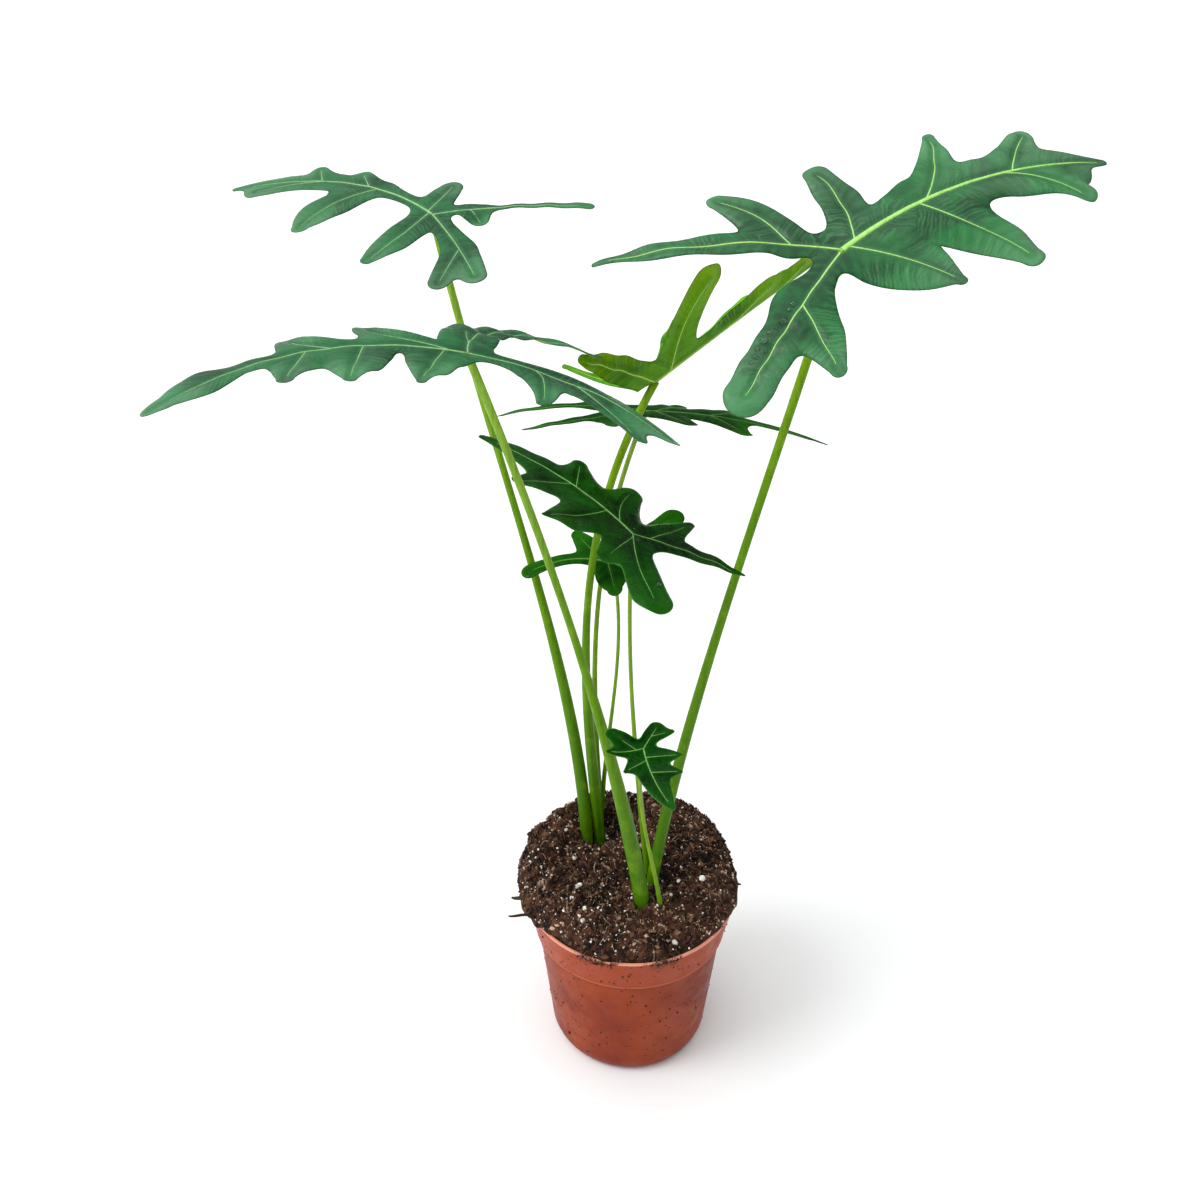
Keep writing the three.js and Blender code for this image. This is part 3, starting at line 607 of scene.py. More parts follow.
add_leaf(
    "b", pleats=0.6, ripple=0.3, side_rib=0.62,
    apex=(-96, 80, 449), heading=152, pitch=6, roll=-16, droop=8, sag=3, camber=8,
    kind="worn", rib=0.65,
    stem=((-24.3, 17), (-36.8, 38, 210), (-67, 61, 330)), low=3.4, top=1.85, groove=20,
    veins=dict(
        mid=(0, 118, 7, -15, 2, 6, 2),
        back_left=(0, -46, 35, 1, 2, 6.5, 5.5),
        back_right=(0, -62, -40, 3, 1.5, 1.8, 3),
        right_1=(0.03, 6, -25, 0, 3.5, 7, 6),
        right_2=(0.38, 56, -21, 0, 3, 4.5, 3.5),
        right_3=(0.62, 83, -20, 0, 3, 4.5, 3.5),
        left_1=(0.02, 6, 45, 1, 4, 9, 3),
        left_2=(0.33, 54, 33, -6, 6, 12, 4.5),
        left_3=(0.6, 103, 8, -2, 6, 7, 6),
        back_left_1=(0.6, -34, 46, 0, 5, 6, 5),
        back_right_1=(0.24, -20, -9, 0, 3.5, 5, 4, -4),
    ),
)
add_leaf(
    "c", pleats=0.6, ripple=0.8, side_rib=0.6,
    apex=(-67, -60, 428), heading=200, pitch=12, roll=0, droop=26, sag=12, camber=8,
    kind="worn", rib=0.6,
    stem=((8.5, -28), (-8.4, -40, 203), (-34.3, -50, 316)), low=4, top=1.7, groove=60,
    plain=("tip",),
    veins=dict(
        mid=(0, 118, 4, -11, 5, 5, 3),
        tip=(0.7, 112, 1, -1, 3, 11, 5),
        back_left=(0, -66, 54, 8, 4, 8, 4, -4),
        back_right=(0, -70, -36, 24, 8, 8, 1),
        right_1=(0.05, 32, -27, 0, 6, 9, 7),
        right_2=(0.42, 62, -22, 0, 6, 8, 7),
        left_1=(0.07, 25, 32, 0, 9, 10, 2),
        left_2=(0.32, 49, 25, 0, 8, 11, 2.5),
        left_3=(0.5, 70, 15, 0, 8, 9, 3.5),
        back_right_1=(0.12, -7, -30, 0, 6, 10, 7, 2),
        back_left_1=(0.3, -19, 38, 2, 7, 6, 2.5, -4),
        back_left_2=(0.5, -52, 56, 0, 6, 7, 3, -4),
    ),
)
add_leaf(
    "d", pleats=0.15, ripple=0.6, side_rib=0.55,
    apex=(8, 30, 385), heading=30, pitch=27, roll=-34, droop=2, sag=-60, camber=0, fold=36,
    kind="olive", rib=0.75,
    stem=((-15.8, 24), (-22.9, 26, 189), (-21.2, 28, 287)), low=3.1, top=1.9, groove=-60,
    veins=dict(
        mid=(0, 103, 0, 0, 5, 6, 2),
        back_right=(0, -38, -36, 4, 4, 8, 3),
        back_left=(0, -34, 28, -4, 3, 4.5, 2, 12),
        right_1=(0.08, 36.5, -38.5, -4, 12, 9.5, 8),
        left_1=(0.14, 40, 29, 4, 6, 8, 6),
        right_2=(0.42, 69, -8, 0, 7, 7, 5),
        left_2=(0.42, 62, 9, 0, 6, 7, 4),
        right_3=(0.72, 89, -6, 0, 5, 6, 4.5),
        left_3=(0.72, 86, 9, 0, 4, 5, 3.5),
    ),
)
add_leaf(
    "e", pleats=0.2, ripple=0.3, side_rib=0.6,
    apex=(6, 62, 358), heading=5, pitch=-5, roll=-8, droop=15, sag=22, camber=5,
    kind="shade", blend=4.5, rib=0.5,
    stem=((-15, 31), (-19.4, 42, 179), (-16.6, 57, 264)), low=1.75, top=1.25, groove=0,
    veins=dict(
        mid=(0, 94, -4, 5, 4, 6, 1),
        back_left=(0, -74, 28, -3, 3, 5, 1, -2),
        back_right=(0, -62, -28, 3, 3, 5, 1, 2),
        left_1=(0.05, 20, 24, 0, 6, 6, 4, -2),
        right_1=(0.05, 18, -22, 0, 6, 6, 4),
        left_2=(0.35, 46, 18, 0, 6, 6, 3),
        right_2=(0.35, 47, -18, 0, 8, 8, 4, -2),
        back_left_1=(0.3, -18, 32, 0, 5, 5, 4),
        back_right_1=(0.3, -20, -30, 0, 5, 5, 3),
    ),
)
add_leaf(
    "f", pleats=0.5, ripple=0.6, side_rib=0.6,
    apex=(-2, -20, 331), heading=142, pitch=18, roll=8, droop=7, sag=5, camber=4,
    kind="dark", rib=0.55,
    stem=((12, -8), (4, -12, 171), (-2, -16, 251)), low=1.8, top=1, groove=200,
    veins=dict(
        mid=(0, 93, -1, -6, 6, 10.5, 2.5),
        back_left=(0, -34, 31, -2, 4, 8, 9.5),
        back_right=(0, -46, -28, 2, 4, 6, 1),
        right_1=(0.1, 22, -27, 2, 4, 8, 7),
        right_2=(0.42, 52, -26, 0, 6, 7, 4),
        left_1=(0.2, 31, 28, 3, 13, 13, 1),
        left_2=(0.45, 56, 17, 0, 8, 9, 3),
        back_left_1=(0.05, -5, 27, 0, 8, 8, 5),
        back_right_1=(0.15, -9, -37, 0, 5, 6, 2),
    ),
)
add_leaf(
    "g", pleats=0.3, ripple=0.6, side_rib=0.45,
    apex=(-11, 40, 284), heading=178, pitch=-8, roll=-24, droop=8, sag=8, camber=6,
    kind="shade", cell=SMALL_CELL, blend=SMALL_BLEND, rib=0.6,
    stem=((-14, 39), (-14, 38, 155), (-8, 39, 220)), low=1.4, top=0.95, groove=0,
    veins=dict(
        mid=(0, 43, -1, -5, 4, 3.5, 4.5),
        back_left=(0, -16, 10, 0, 3, 4, 3),
        back_right=(0, -33, -26, 0, 3, 6, 6),
        right_1=(0.1, 18, -21, 0, 5, 6, 3),
        left_1=(0.05, -1, 17, 0, 5, 8, 4),
    ),
)
add_leaf(
    "h", pleats=0.3, ripple=0.4, side_rib=0.66,
    apex=(3, -58, 240), heading=-72, pitch=-15, roll=4, droop=10, sag=8, camber=6,
    kind="dark", cell=SMALL_CELL, blend=SMALL_BLEND, rib=0.42,
    stem=((16, -27), (12, -38, 139), (4, -49, 190)), low=1.4, top=0.9, groove=0,
    veins=dict(
        mid=(0, 34, 2, -2, 2, 6, 1.5),
        back_right=(0, -3, -16, 1, 2, 3, 1),
        back_left=(0, -9.5, 9.5, 0, 1, 3, 3.5),
        back_right_1=(0.2, -12, -11, 0, 2, 4.5, 3.5),
        back_left_1=(0.6, -5.5, 16, 0, 2, 2.5, 1),
        left_1=(0.15, 8, 15, 0, 3, 4, 1),
        left_2=(0.4, 17, 12, 0, 4, 3.5, 1),
        right_1=(0.2, 10, -12, 0, 4, 4, 1),
    ),
)


# Nearest place on a vein for many points: distance, share of the path and length along it
def nearest(vein, points):
    start, step = vein.path[:-1], np.diff(vein.path, axis=0)
    offset = points[:, None, :] - start
    along = np.clip((offset * step).sum(-1) / (step ** 2).sum(-1), 0, 1)
    gap = offset - along[..., None] * step
    distance = np.hypot(gap[..., 0], gap[..., 1])
    pick = distance.argmin(1)
    rows = np.arange(len(points))
    place = pick + along[rows, pick]
    return distance[rows, pick], place / VEIN_STEPS, np.interp(place, np.arange(VEIN_STEPS + 1), vein.run)


# Half width of a rib: the midrib tapers, and each branch is thinner than the vein that it leaves
def rib_width(leaf, vein, share):
    first, last = 1.0, MIDRIB_END
    if vein.order:
        first = leaf.side_rib * BRANCH_SHARE ** (vein.order - 1)
        last = SIDE_RIB_END * first
    return leaf.rib * (first + (last - first) * np.minimum(share, 1) ** RIB_TAPER)


# The blade's field at many points: below zero inside, with what the relief and the looks need
def blade_field(leaf, points):
    values, lifts, phases, reaches, bare = [], [], [], [], []
    sway = PLEAT_SWAY * lattice_noise(points, PLEAT_SWAY_LENGTH, 3)
    for vein in leaf.veins:
        distance, share, run = nearest(vein, points)
        first, linear, square = vein.widths
        values.append(distance - (first + linear * share + square * share ** 2))
        lifts.append(vein.base + vein.lift * share ** 2)
        phases.append((run - PLEAT_SLANT * distance + sway) / PLEAT_LENGTH)
        reaches.append(run / vein.run[-1])
        hidden = FAR if vein.name in leaf.plain else 0
        bare.append(distance - rib_width(leaf, vein, share) + hidden)
    values, lifts, phase, reach = map(np.array, (values, lifts, phases, reaches))
    least = values.min(0)
    grasp = np.exp(-(values - least) / GRASP)
    weight = grasp / grasp.sum(0)
    fade = 1 - smooth_step(PLEAT_FADE, 1.0, reach)
    return SimpleNamespace(
        value=least - leaf.blend * np.log(np.exp(-(values - least) / leaf.blend).sum(0)),
        lift=(weight * lifts).sum(0),
        pleat=(weight ** 2 * np.cos(TURN * phase) * fade).sum(0),
        near=np.array(bare).min(0),
        ends=(weight * smooth_step(PALE_END, 1.0, reach)).sum(0),
        phase=phase, fade=fade, owner=values.argmin(0),
    )


# The bent surface before the leaf is placed
def bent(leaf, u, v, height):
    curl = np.radians(np.where(u >= 0, leaf.droop, leaf.sag)) / BEND_LENGTH + LEAST_BEND
    turn = curl * np.abs(u)
    side = np.where(u >= 0, 1.0, -1.0)
    camber = math.radians(leaf.camber) / BEND_LENGTH + LEAST_BEND
    fold = math.radians(leaf.fold)
    away = np.sqrt(v * v + CREASE ** 2) - CREASE
    spread = (math.sin(fold) - np.sin(fold - camber * away)) / camber + np.abs(v) - away
    wave = np.sin(TURN * (u + 0.6 * v) / RIPPLE_LENGTH)
    ripple = leaf.ripple * RIPPLE * wave * np.minimum(1, away / RIPPLE_REACH)
    height = (np.cos(fold - camber * away) - math.cos(fold)) / camber + height + ripple
    return np.stack([
        side * (np.sin(turn) / curl + height * np.sin(turn)),
        np.sign(v) * spread,
        -(1 - np.cos(turn)) / curl + height * np.cos(turn),
    ], axis=1)


def leaf_turn(leaf):
    turn = Matrix.Rotation(math.radians(leaf.heading), 3, "Z")
    turn = turn @ Matrix.Rotation(-math.radians(leaf.pitch), 3, "Y")
    return np.array(turn @ Matrix.Rotation(math.radians(leaf.roll), 3, "X"))


# Middle surface and its normal at many blade points, placed in the plant
def blade_places(leaf, points):
    field = blade_field(leaf, points)
    wave = lattice_noise(points, FLUTTER_LENGTH, ord(leaf.name))
    outward = smooth_step(*FLAT_BY_RIB, field.near)
    height = field.lift + FLUTTER * leaf.ripple * wave * outward
    inside = np.maximum(-field.value, 0)
    pleat = PLEAT_HEIGHT * leaf.pleats * field.pleat
    height = height + pleat * smooth_step(*PLEAT_RISE, field.near) * smooth_step(*PLEAT_RISE, inside)
    height = height - EDGE_CURL * np.exp(-inside / EDGE_CURL_REACH) * outward
    height = height - CHANNEL_DEPTH * np.exp(-np.maximum(field.near, 0) / CHANNEL_WIDTH)

    def at(du, dv):
        return bent(leaf, points[:, 0] + du, points[:, 1] + dv, height)

    slope_u, slope_v = (at(*step) - at(*-step) for step in NORMAL_STEP * np.eye(2))
    normal = unit(np.cross(slope_u, slope_v))
    turn = leaf_turn(leaf)
    return at(0, 0) @ turn.T + np.array(leaf.apex), normal @ turn.T, field


# Lattice of points, with those near the outline moved onto it
def blade_lattice(leaf):
    cell = leaf.cell
    paths = np.concatenate([vein.path for vein in leaf.veins])
    low, high = paths.min(0) - OUTLINE_MARGIN, paths.max(0) + OUTLINE_MARGIN
    row = cell * math.sqrt(3) / 2
    columns = int((high[0] - low[0]) / cell) + 2
    rows = int((high[1] - low[1]) / row) + 2
    j, i = np.mgrid[0:rows, 0:columns]
    points = np.stack([low[0] + (i + (j % 2) / 2) * cell, low[1] + j * row], axis=-1).reshape(-1, 2)
    value = blade_field(leaf, points).value
    close = np.flatnonzero(np.abs(value) < SNAP * cell)
    moved = points[close]
    for _ in range(SNAP_ROUNDS):
        here = blade_field(leaf, moved).value
        slope = np.stack([
            blade_field(leaf, moved + step).value - here for step in SNAP_STEP * np.eye(2)
        ], axis=1) / SNAP_STEP
        moved = moved - slope * (here / np.maximum((slope ** 2).sum(1), LEAST_SLOPE))[:, None]
    points[close] = moved
    value[close] = 0
    a = (j * columns + i)[:-1, :-1]
    b, c, d = a + 1, a + columns, a + columns + 1
    even = (j[:-1, :-1] % 2 == 0)[..., None]
    first = np.where(even, np.stack([a, b, c], -1), np.stack([a, b, d], -1)).reshape(-1, 3)
    second = np.where(even, np.stack([b, d, c], -1), np.stack([a, d, c], -1)).reshape(-1, 3)
    return points, value, np.concatenate([first, second])


# Triangles inside the outline; those that cross it are clipped
def blade_triangles(leaf):
    points, value, triangles = blade_lattice(leaf)
    least, most = value[triangles].min(1), value[triangles].max(1)
    whole = triangles[(least < 0) & (most <= 0)]
    mixed = triangles[(least < 0) & (most > 0)]
    pairs = np.concatenate([mixed[:, [i, (i + 1) % 3]] for i in range(3)])
    inner_first = np.where((value[pairs[:, 0]] < 0)[:, None], pairs, pairs[:, ::-1])
    cut = inner_first[(value[inner_first[:, 0]] < 0) & (value[inner_first[:, 1]] > 0)]
    cut = np.unique(cut, axis=0)
    low, high = np.zeros(len(cut)), np.ones(len(cut))
    inner, outer = points[cut[:, 0]], points[cut[:, 1]]
    for _ in range(CLIP_ROUNDS):
        middle = (low + high) / 2
        inside = blade_field(leaf, inner + (outer - inner) * middle[:, None]).value < 0
        low, high = np.where(inside, middle, low), np.where(inside, high, middle)
    crossing = {frozenset(pair): len(points) + index for index, pair in enumerate(cut.tolist())}
    points = np.concatenate([points, inner + (outer - inner) * low[:, None]])
    value = np.concatenate([value, np.zeros(len(cut))])
    clipped = []
    for corners in mixed.tolist():
        kept = []
        for here, after in zip(corners, corners[1:] + corners[:1]):
            if value[here] <= 0:
                kept.append(here)
            if value[here] * value[after] < 0:
                kept.append(crossing[frozenset((here, after))])
        clipped += [(kept[0], kept[i], kept[i + 1]) for i in range(1, len(kept) - 1)]
    triangles = np.concatenate([whole, np.array(clipped, dtype=int).reshape(-1, 3)])
    used, renumbered = np.unique(triangles, return_inverse=True)
    return points[used], renumbered.reshape(-1, 3)


# Edges that belong to one triangle only
def border_edges(triangles):
    edges = np.concatenate([triangles[:, [i, (i + 1) % 3]] for i in range(3)])
    keys = np.sort(edges, axis=1)
    _, first, count = np.unique(keys, axis=0, return_index=True, return_counts=True)
    return edges[first[count == 1]]


# A rib: a tapered round bar let into the blade, higher below than above
def rib_bar(leaf, vein):
    stations = max(6, int(vein.run[-1] / RIB_STEP))
    last = sum(vein.widths)
    reach = RIB_REACH + RIB_BEYOND * last / vein.run[-1]
    share = np.linspace(0, reach, stations)
    centre = bezier(vein, share)
    ahead = unit(np.gradient(centre, axis=0))
    aside = np.column_stack([-ahead[:, 1], ahead[:, 0]])
    width = rib_width(leaf, vein, share) * np.sqrt(np.clip((reach - share) / RIB_TIP, 0.02, 1))
    angle = spokes(RIB_SIDES)
    points = centre[:, None] + aside[:, None] * (width[:, None] * np.cos(angle))[..., None]
    places, normals, _ = blade_places(leaf, points.reshape(-1, 2))
    sink = MIDRIB_SINK if vein.name == "mid" else RIB_SINK
    rise = np.where(np.sin(angle) > 0, RIB_RISE, sink) * np.sin(angle)
    proud = np.sign(np.sin(angle)) * RIB_PROUD * (width[:, None] > RIB_LEAST)
    places = places + normals * (width[:, None] * rise + proud).reshape(-1, 1)
    return places, tube_faces(stations, RIB_SIDES)


# The sheet with its two faces, its edge and its ribs, and what its material reads
def build_blade(leaf):
    points, triangles = blade_triangles(leaf)
    places, normals, field = blade_places(leaf, points)
    inside = np.maximum(-field.value, 0)
    taper = EDGE_SHARE + (1 - EDGE_SHARE) * smooth_step(0, EDGE_ROUND, inside)
    half = normals * (BLADE_THICK / 2 * taper)[:, None]
    count = len(points)
    edges = border_edges(triangles)
    walls = np.stack([edges[:, 1], edges[:, 0], edges[:, 0] + count, edges[:, 1] + count], axis=1)
    under = triangles[:, ::-1] + count
    vertices = [places + half, places - half]
    faces = triangles.tolist() + under.tolist() + walls.tolist()
    picks = [0] * len(triangles) + [1] * len(under) + [0] * len(walls)
    total = 2 * count
    for vein in leaf.veins:
        if vein.name not in leaf.plain:
            rib_places, rib_faces = rib_bar(leaf, vein)
            vertices.append(rib_places)
            faces += [[corner + total for corner in face] for face in rib_faces]
            picks += [2] * len(rib_faces)
            total += len(rib_places)
    kind = leaf.kind
    piece = make_piece(f"leaf_blade_{leaf.name}", np.concatenate(vertices), faces, LEAF_SKINS[kind], picks)
    rows = dict(rim=(inside, RIB_RIM), halo=(field.near, 0), ends=(field.ends, 0))
    for key, (values, on_rib) in rows.items():
        mark(piece, **{key: np.concatenate([values, values, np.full(total - 2 * count, on_rib)])})
    owner = blade_field(leaf, points[triangles].mean(1)).owner
    for key, rows in dict(phase=field.phase, fade=field.fade).items():
        top = rows[owner[:, None], triangles]
        corners = np.zeros(len(piece.data.loops))
        corners[:2 * top.size] = np.concatenate([top.ravel(), top[:, ::-1].ravel()])
        mark(piece, "CORNER", **{key: corners})
    slot = {"mature": "blade", "worn": "blade", "olive": "blade_olive"}.get(kind, "blade_dark")
    settle(piece, slot, f"blade_{leaf.name}")


# Stems follow the frame's curve, with a groove and two lips where the sheath is
def stem_curve(leaf):
    rooted, third, two_thirds = map(np.array, leaf.stem)
    foot = np.array([*rooted, RHIZOME_TOP + STEM_SEAT * (1 + leaf.low)])
    end = np.array(leaf.apex) - leaf_turn(leaf)[:, 2] * (STEM_SEAT + CHANNEL_DEPTH)
    first = (-5 * foot + 18 * third - 9 * two_thirds + 2 * end) / 6
    second = (2 * foot - 9 * third + 18 * two_thirds - 5 * end) / 6
    share = np.linspace(0, 1, STEM_STEPS + 1)[:, None]
    rest = 1 - share
    places = rest ** 3 * foot + 3 * rest ** 2 * share * first
    places = places + 3 * rest * share ** 2 * second + share ** 3 * end
    share = share[:, 0]
    grown = smooth_step(SHEATH_START, SHEATH_END, share)
    return places, share, leaf.low + (leaf.top - leaf.low) * grown


def build_stem(leaf):
    centre, share, radius = stem_curve(leaf)
    angle = spokes(STEM_SIDES)
    turn = (angle - math.radians(leaf.groove) + math.pi) % TURN - math.pi
    lips = bell(turn, LIP_TURN, LIP_REACH) + bell(turn, -LIP_TURN, LIP_REACH)
    sheath = smooth_step(GROOVE_END, SHEATH_START, share)[:, None]
    groove = SHEATH_GROOVE * bell(turn, 0, GROOVE_REACH)
    form = 1 + sheath * (SHEATH_LIP * lips - groove) + STEM_RIDGE * np.cos(STEM_RIDGES * angle)
    places = rings_along(centre, radius[:, None] * form, angle, (0, -1, 0))
    skin = "pale" if leaf.name in "bc" else "strong" if leaf.low >= 3 else "thin"
    faces = tube_faces(len(centre), STEM_SIDES)
    piece = make_piece(f"leaf_stalk_{leaf.name}", places, faces, [STEM_SKINS[skin]])
    mark(piece, share=np.repeat(share, STEM_SIDES))
    settle(piece, "petiole", f"petiole_{leaf.name}")


# Pot: a turned profile with rounded lip, band and foot, and drilled drainage holes
def pot_radius(z):
    return POT_BASE_RADIUS + (BAND_LOW_RADIUS - BAND_STEP - POT_BASE_RADIUS) * z / BAND_LOW


def arc(centre, radius, start, end, steps):
    angles = np.radians(np.linspace(start, end, steps))
    return [(centre[0] + radius * math.cos(t), centre[1] + radius * math.sin(t)) for t in angles]


def pot_profile():
    corner = POT_BASE_RADIUS - POT_BASE_EDGE
    under_band = pot_radius(BAND_LOW)
    outside = [(0.01, 0), (20, 0), (32, 0)]
    for t in np.linspace(0, 1.35, 9):
        outside.append((corner + POT_BASE_EDGE * math.sin(t), POT_BASE_EDGE * (1 - math.cos(t))))
    outside += [(pot_radius(z), z) for z in np.linspace(POT_BASE_EDGE + 1, BAND_LOW - 1.6, 24)]
    outside += arc((under_band + BAND_EDGE, BAND_LOW - 0.9), BAND_EDGE, 180, 90, 4)
    outside += arc((BAND_LOW_RADIUS - BAND_EDGE, BAND_LOW + 0.2), BAND_EDGE, -90, 0, 5)
    heights = np.linspace(BAND_LOW + 1, POT_HEIGHT - 2.4, 10)
    outside += zip(np.linspace(BAND_LOW_RADIUS, POT_TOP_RADIUS - 0.35, 10), heights)
    outside += arc((POT_TOP_RADIUS - POT_LIP, POT_HEIGHT - 2 * POT_LIP), POT_LIP, 0, 90, 5)
    inside = arc((POT_TOP_RADIUS - POT_WALL + 0.3, POT_HEIGHT - 2 * POT_LIP), POT_LIP, 90, 180, 4)
    inside += [(BAND_LOW_RADIUS - POT_WALL, BAND_LOW + 1), (under_band - POT_WALL, BAND_LOW - 2)]
    return outside + inside + [(pot_radius(12) - POT_WALL, 12), (corner - 1, POT_FLOOR), (0.01, POT_FLOOR)]


# A round drill for each drainage hole, all in one object
def make_drill():
    form = bmesh.new()
    for angle in spokes(DRAIN_COUNT):
        bmesh.ops.create_cone(
            form, cap_ends=True, segments=40, radius1=DRAIN_RADIUS * MM, radius2=DRAIN_RADIUS * MM,
            depth=3 * POT_FLOOR * MM,
            matrix=Matrix.Translation(Vector(polar(DRAIN_CIRCLE, angle, POT_FLOOR / 2)) * MM),
        )
    mesh = bpy.data.meshes.new("drill")
    form.to_mesh(mesh)
    drill = bpy.data.objects.new("drill", mesh)
    bpy.context.scene.collection.objects.link(drill)
    return drill


def build_pot():
    profile = pot_profile()
    places = np.concatenate([polar(radius, spokes(POT_SIDES), z) for radius, z in profile])
    piece = make_piece("nursery_pot", places, tube_faces(len(profile), POT_SIDES), [pot_material()])
    drill = make_drill()
    cut = piece.modifiers.new("holes", "BOOLEAN")
    cut.operation, cut.solver, cut.object = "DIFFERENCE", "EXACT", drill
    bpy.context.view_layer.objects.active = piece
    bpy.ops.object.modifier_apply(modifier="holes")
    bpy.data.objects.remove(drill)
    settle(piece, "pot", "pot")


# Hollows in the soil round the stems: x, y, reach and depth
HOLLOWS = (
    (-17, 23, 14.5, 17), (8, -32, 10, -3), (3, -4, 7, 4), (19, -12, 6, 3.5), (-34, -8, 8, 2), (30, 18, 9, 2),
)
# Relief of the soil: size, depth and seed
SOIL_GRAINS = ((11.0, 1.5, 5), (5.0, 1.6, 6), (2.4, 1.1, 7), (1.2, 0.6, 8))


# Soil surface: a crumbly mound, higher at the back, that hangs over the rim except in front
def soil_edge(x, y):
    front = smooth_step(SOIL_BARE_START, SOIL_BARE_END, -y)
    left = smooth_step(0, SOIL_LEFT_REACH, -x) * (1 - front)
    return POT_TOP_RADIUS + SOIL_OVERHANG + SOIL_LEFT_BULGE * left - SOIL_FRONT_DRAW * front


# The edge is ragged, and crumbs lie over the rim in two places in front
def ragged_edge(angle):
    ragged = 0.5 * np.sin(7 * angle + 1) + 0.35 * np.sin(17 * angle) + 0.25 * np.sin(31 * angle + 2)
    spill = bell(angle, 4.36, 0.13) + 0.6 * bell(angle, 5.05, 0.08)
    plain = soil_edge(POT_TOP_RADIUS * np.cos(angle), POT_TOP_RADIUS * np.sin(angle))
    return plain - SOIL_INSET + SOIL_RAGGED * ragged + SOIL_SPILL * spill


def soil_height(x, y):
    share = np.minimum(np.hypot(x, y) / soil_edge(x, y), 1.03)
    crown = SOIL_CROWN * (1 - share ** SOIL_STEEPNESS)
    to_back = x * math.cos(SOIL_BACK_HEADING) + y * math.sin(SOIL_BACK_HEADING)
    back = SOIL_BACK_RISE * smooth_step(-SOIL_BACK_START, SOIL_BACK_END, to_back)
    lump = np.sin(x * 0.23 + 1) * np.cos(y * 0.27) + 0.6 * np.sin(x * 0.51 - y * 0.43)
    lump = SOIL_LUMP * lump * (1 - SOIL_LUMP_FADE * share)
    points = np.column_stack([x, y])
    rough = sum(depth * lattice_noise(points, size, seed) for size, depth, seed in SOIL_GRAINS)
    hollow = sum(depth * bell(x, at_x, reach) * bell(y, at_y, reach) for at_x, at_y, reach, depth in HOLLOWS)
    height = SOIL_RIM_HEIGHT + crown + back + lump + rough - hollow
    return height - SOIL_FRONT_DIP * smooth_step(0.9, 1.0, share) * smooth_step(0, 40, -y)


def on_soil(x, y, lift):
    return np.column_stack([x, y, soil_height(x, y) + lift])


# The mound's flank, from its edge down to the pot's rim: places and how tall it is there
def flank_places(angle, share):
    edge = ragged_edge(angle)
    top = soil_height(edge * np.cos(angle), edge * np.sin(angle)) - FLANK_SINK
    radius = edge + (POT_TOP_RADIUS - SOIL_CLEARANCE - edge) * share ** 2
    z = top + (POT_HEIGHT + 0.2 - top) * share
    tall = smooth_step(2, 8, top - POT_HEIGHT)
    places = polar(radius, angle, z)
    rough = lattice_noise(places, 3.6, 13) + 0.6 * lattice_noise(places, 1.6, 14)
    radius = radius + tall * (FLANK_ROUGH * rough + FLANK_BULGE) * np.sin(math.pi * share)
    return polar(radius, angle, z), top - POT_HEIGHT


# Painted shade round the feet of the stems, and darker or lighter patches at random
def stem_shade_and_patches(x, y):
    feet = bell(x, 17, 13) * bell(y, -8, 15) + 0.8 * bell(x, -12, 12) * bell(y, 26, 9)
    patch = lattice_noise(np.column_stack([x, y]), 13.0, 12)
    return np.clip(0.3 * feet + 0.16 * patch, -0.2, 0.4)


def build_soil():
    angle = spokes(SOIL_SPOKES)
    rings = [
        polar(SOIL_CORE, angle, SOIL_FLOOR),
        polar(POT_BASE_RADIUS - POT_BASE_EDGE - 2, angle, SOIL_FLOOR),
        polar(pot_radius(12) - SOIL_CLEARANCE, angle, 12.4),
        polar(BAND_LOW_RADIUS - 2.3, angle, BAND_LOW + 1),
        polar(POT_TOP_RADIUS - SOIL_CLEARANCE, angle, POT_HEIGHT + 0.2),
    ]
    for ring in range(FLANK_RINGS - 1, 0, -1):
        rings.append(flank_places(angle, ring / FLANK_RINGS)[0])
    for ring in range(SOIL_RINGS + 1):
        radius = np.maximum(ragged_edge(angle) * (1 - ring / SOIL_RINGS), SOIL_CORE)
        drop = SOIL_EDGE_DROP * max(3 - ring, 0) ** 2
        rings.append(on_soil(radius * np.cos(angle), radius * np.sin(angle), -drop))
    places = np.concatenate(rings)
    material = earth_material("potting_soil", (16, 9, 6), (86, 56, 41), (150, 116, 92))
    piece = make_piece("potting_soil", places, tube_faces(len(rings), SOIL_SPOKES), [material], smooth=False)
    # The soil's tone is darker in the painted shade round the stems' feet
    mark(piece, tone=0.3 + 0.35 * lattice_noise(places, 3.0, 11) - stem_shade_and_patches(places[:, 0], places[:, 1]))
    settle(piece, "soil", "soil")


# Corners and faces of a ball of radius 1
def round_base(subdivisions):
    form = bmesh.new()
    bmesh.ops.create_icosphere(form, subdivisions=subdivisions, radius=1.0)
    corners = np.array([vertex.co[:] for vertex in form.verts])
    faces = np.array([[vertex.index for vertex in face.verts] for face in form.faces])
    form.free()
    return corners, faces


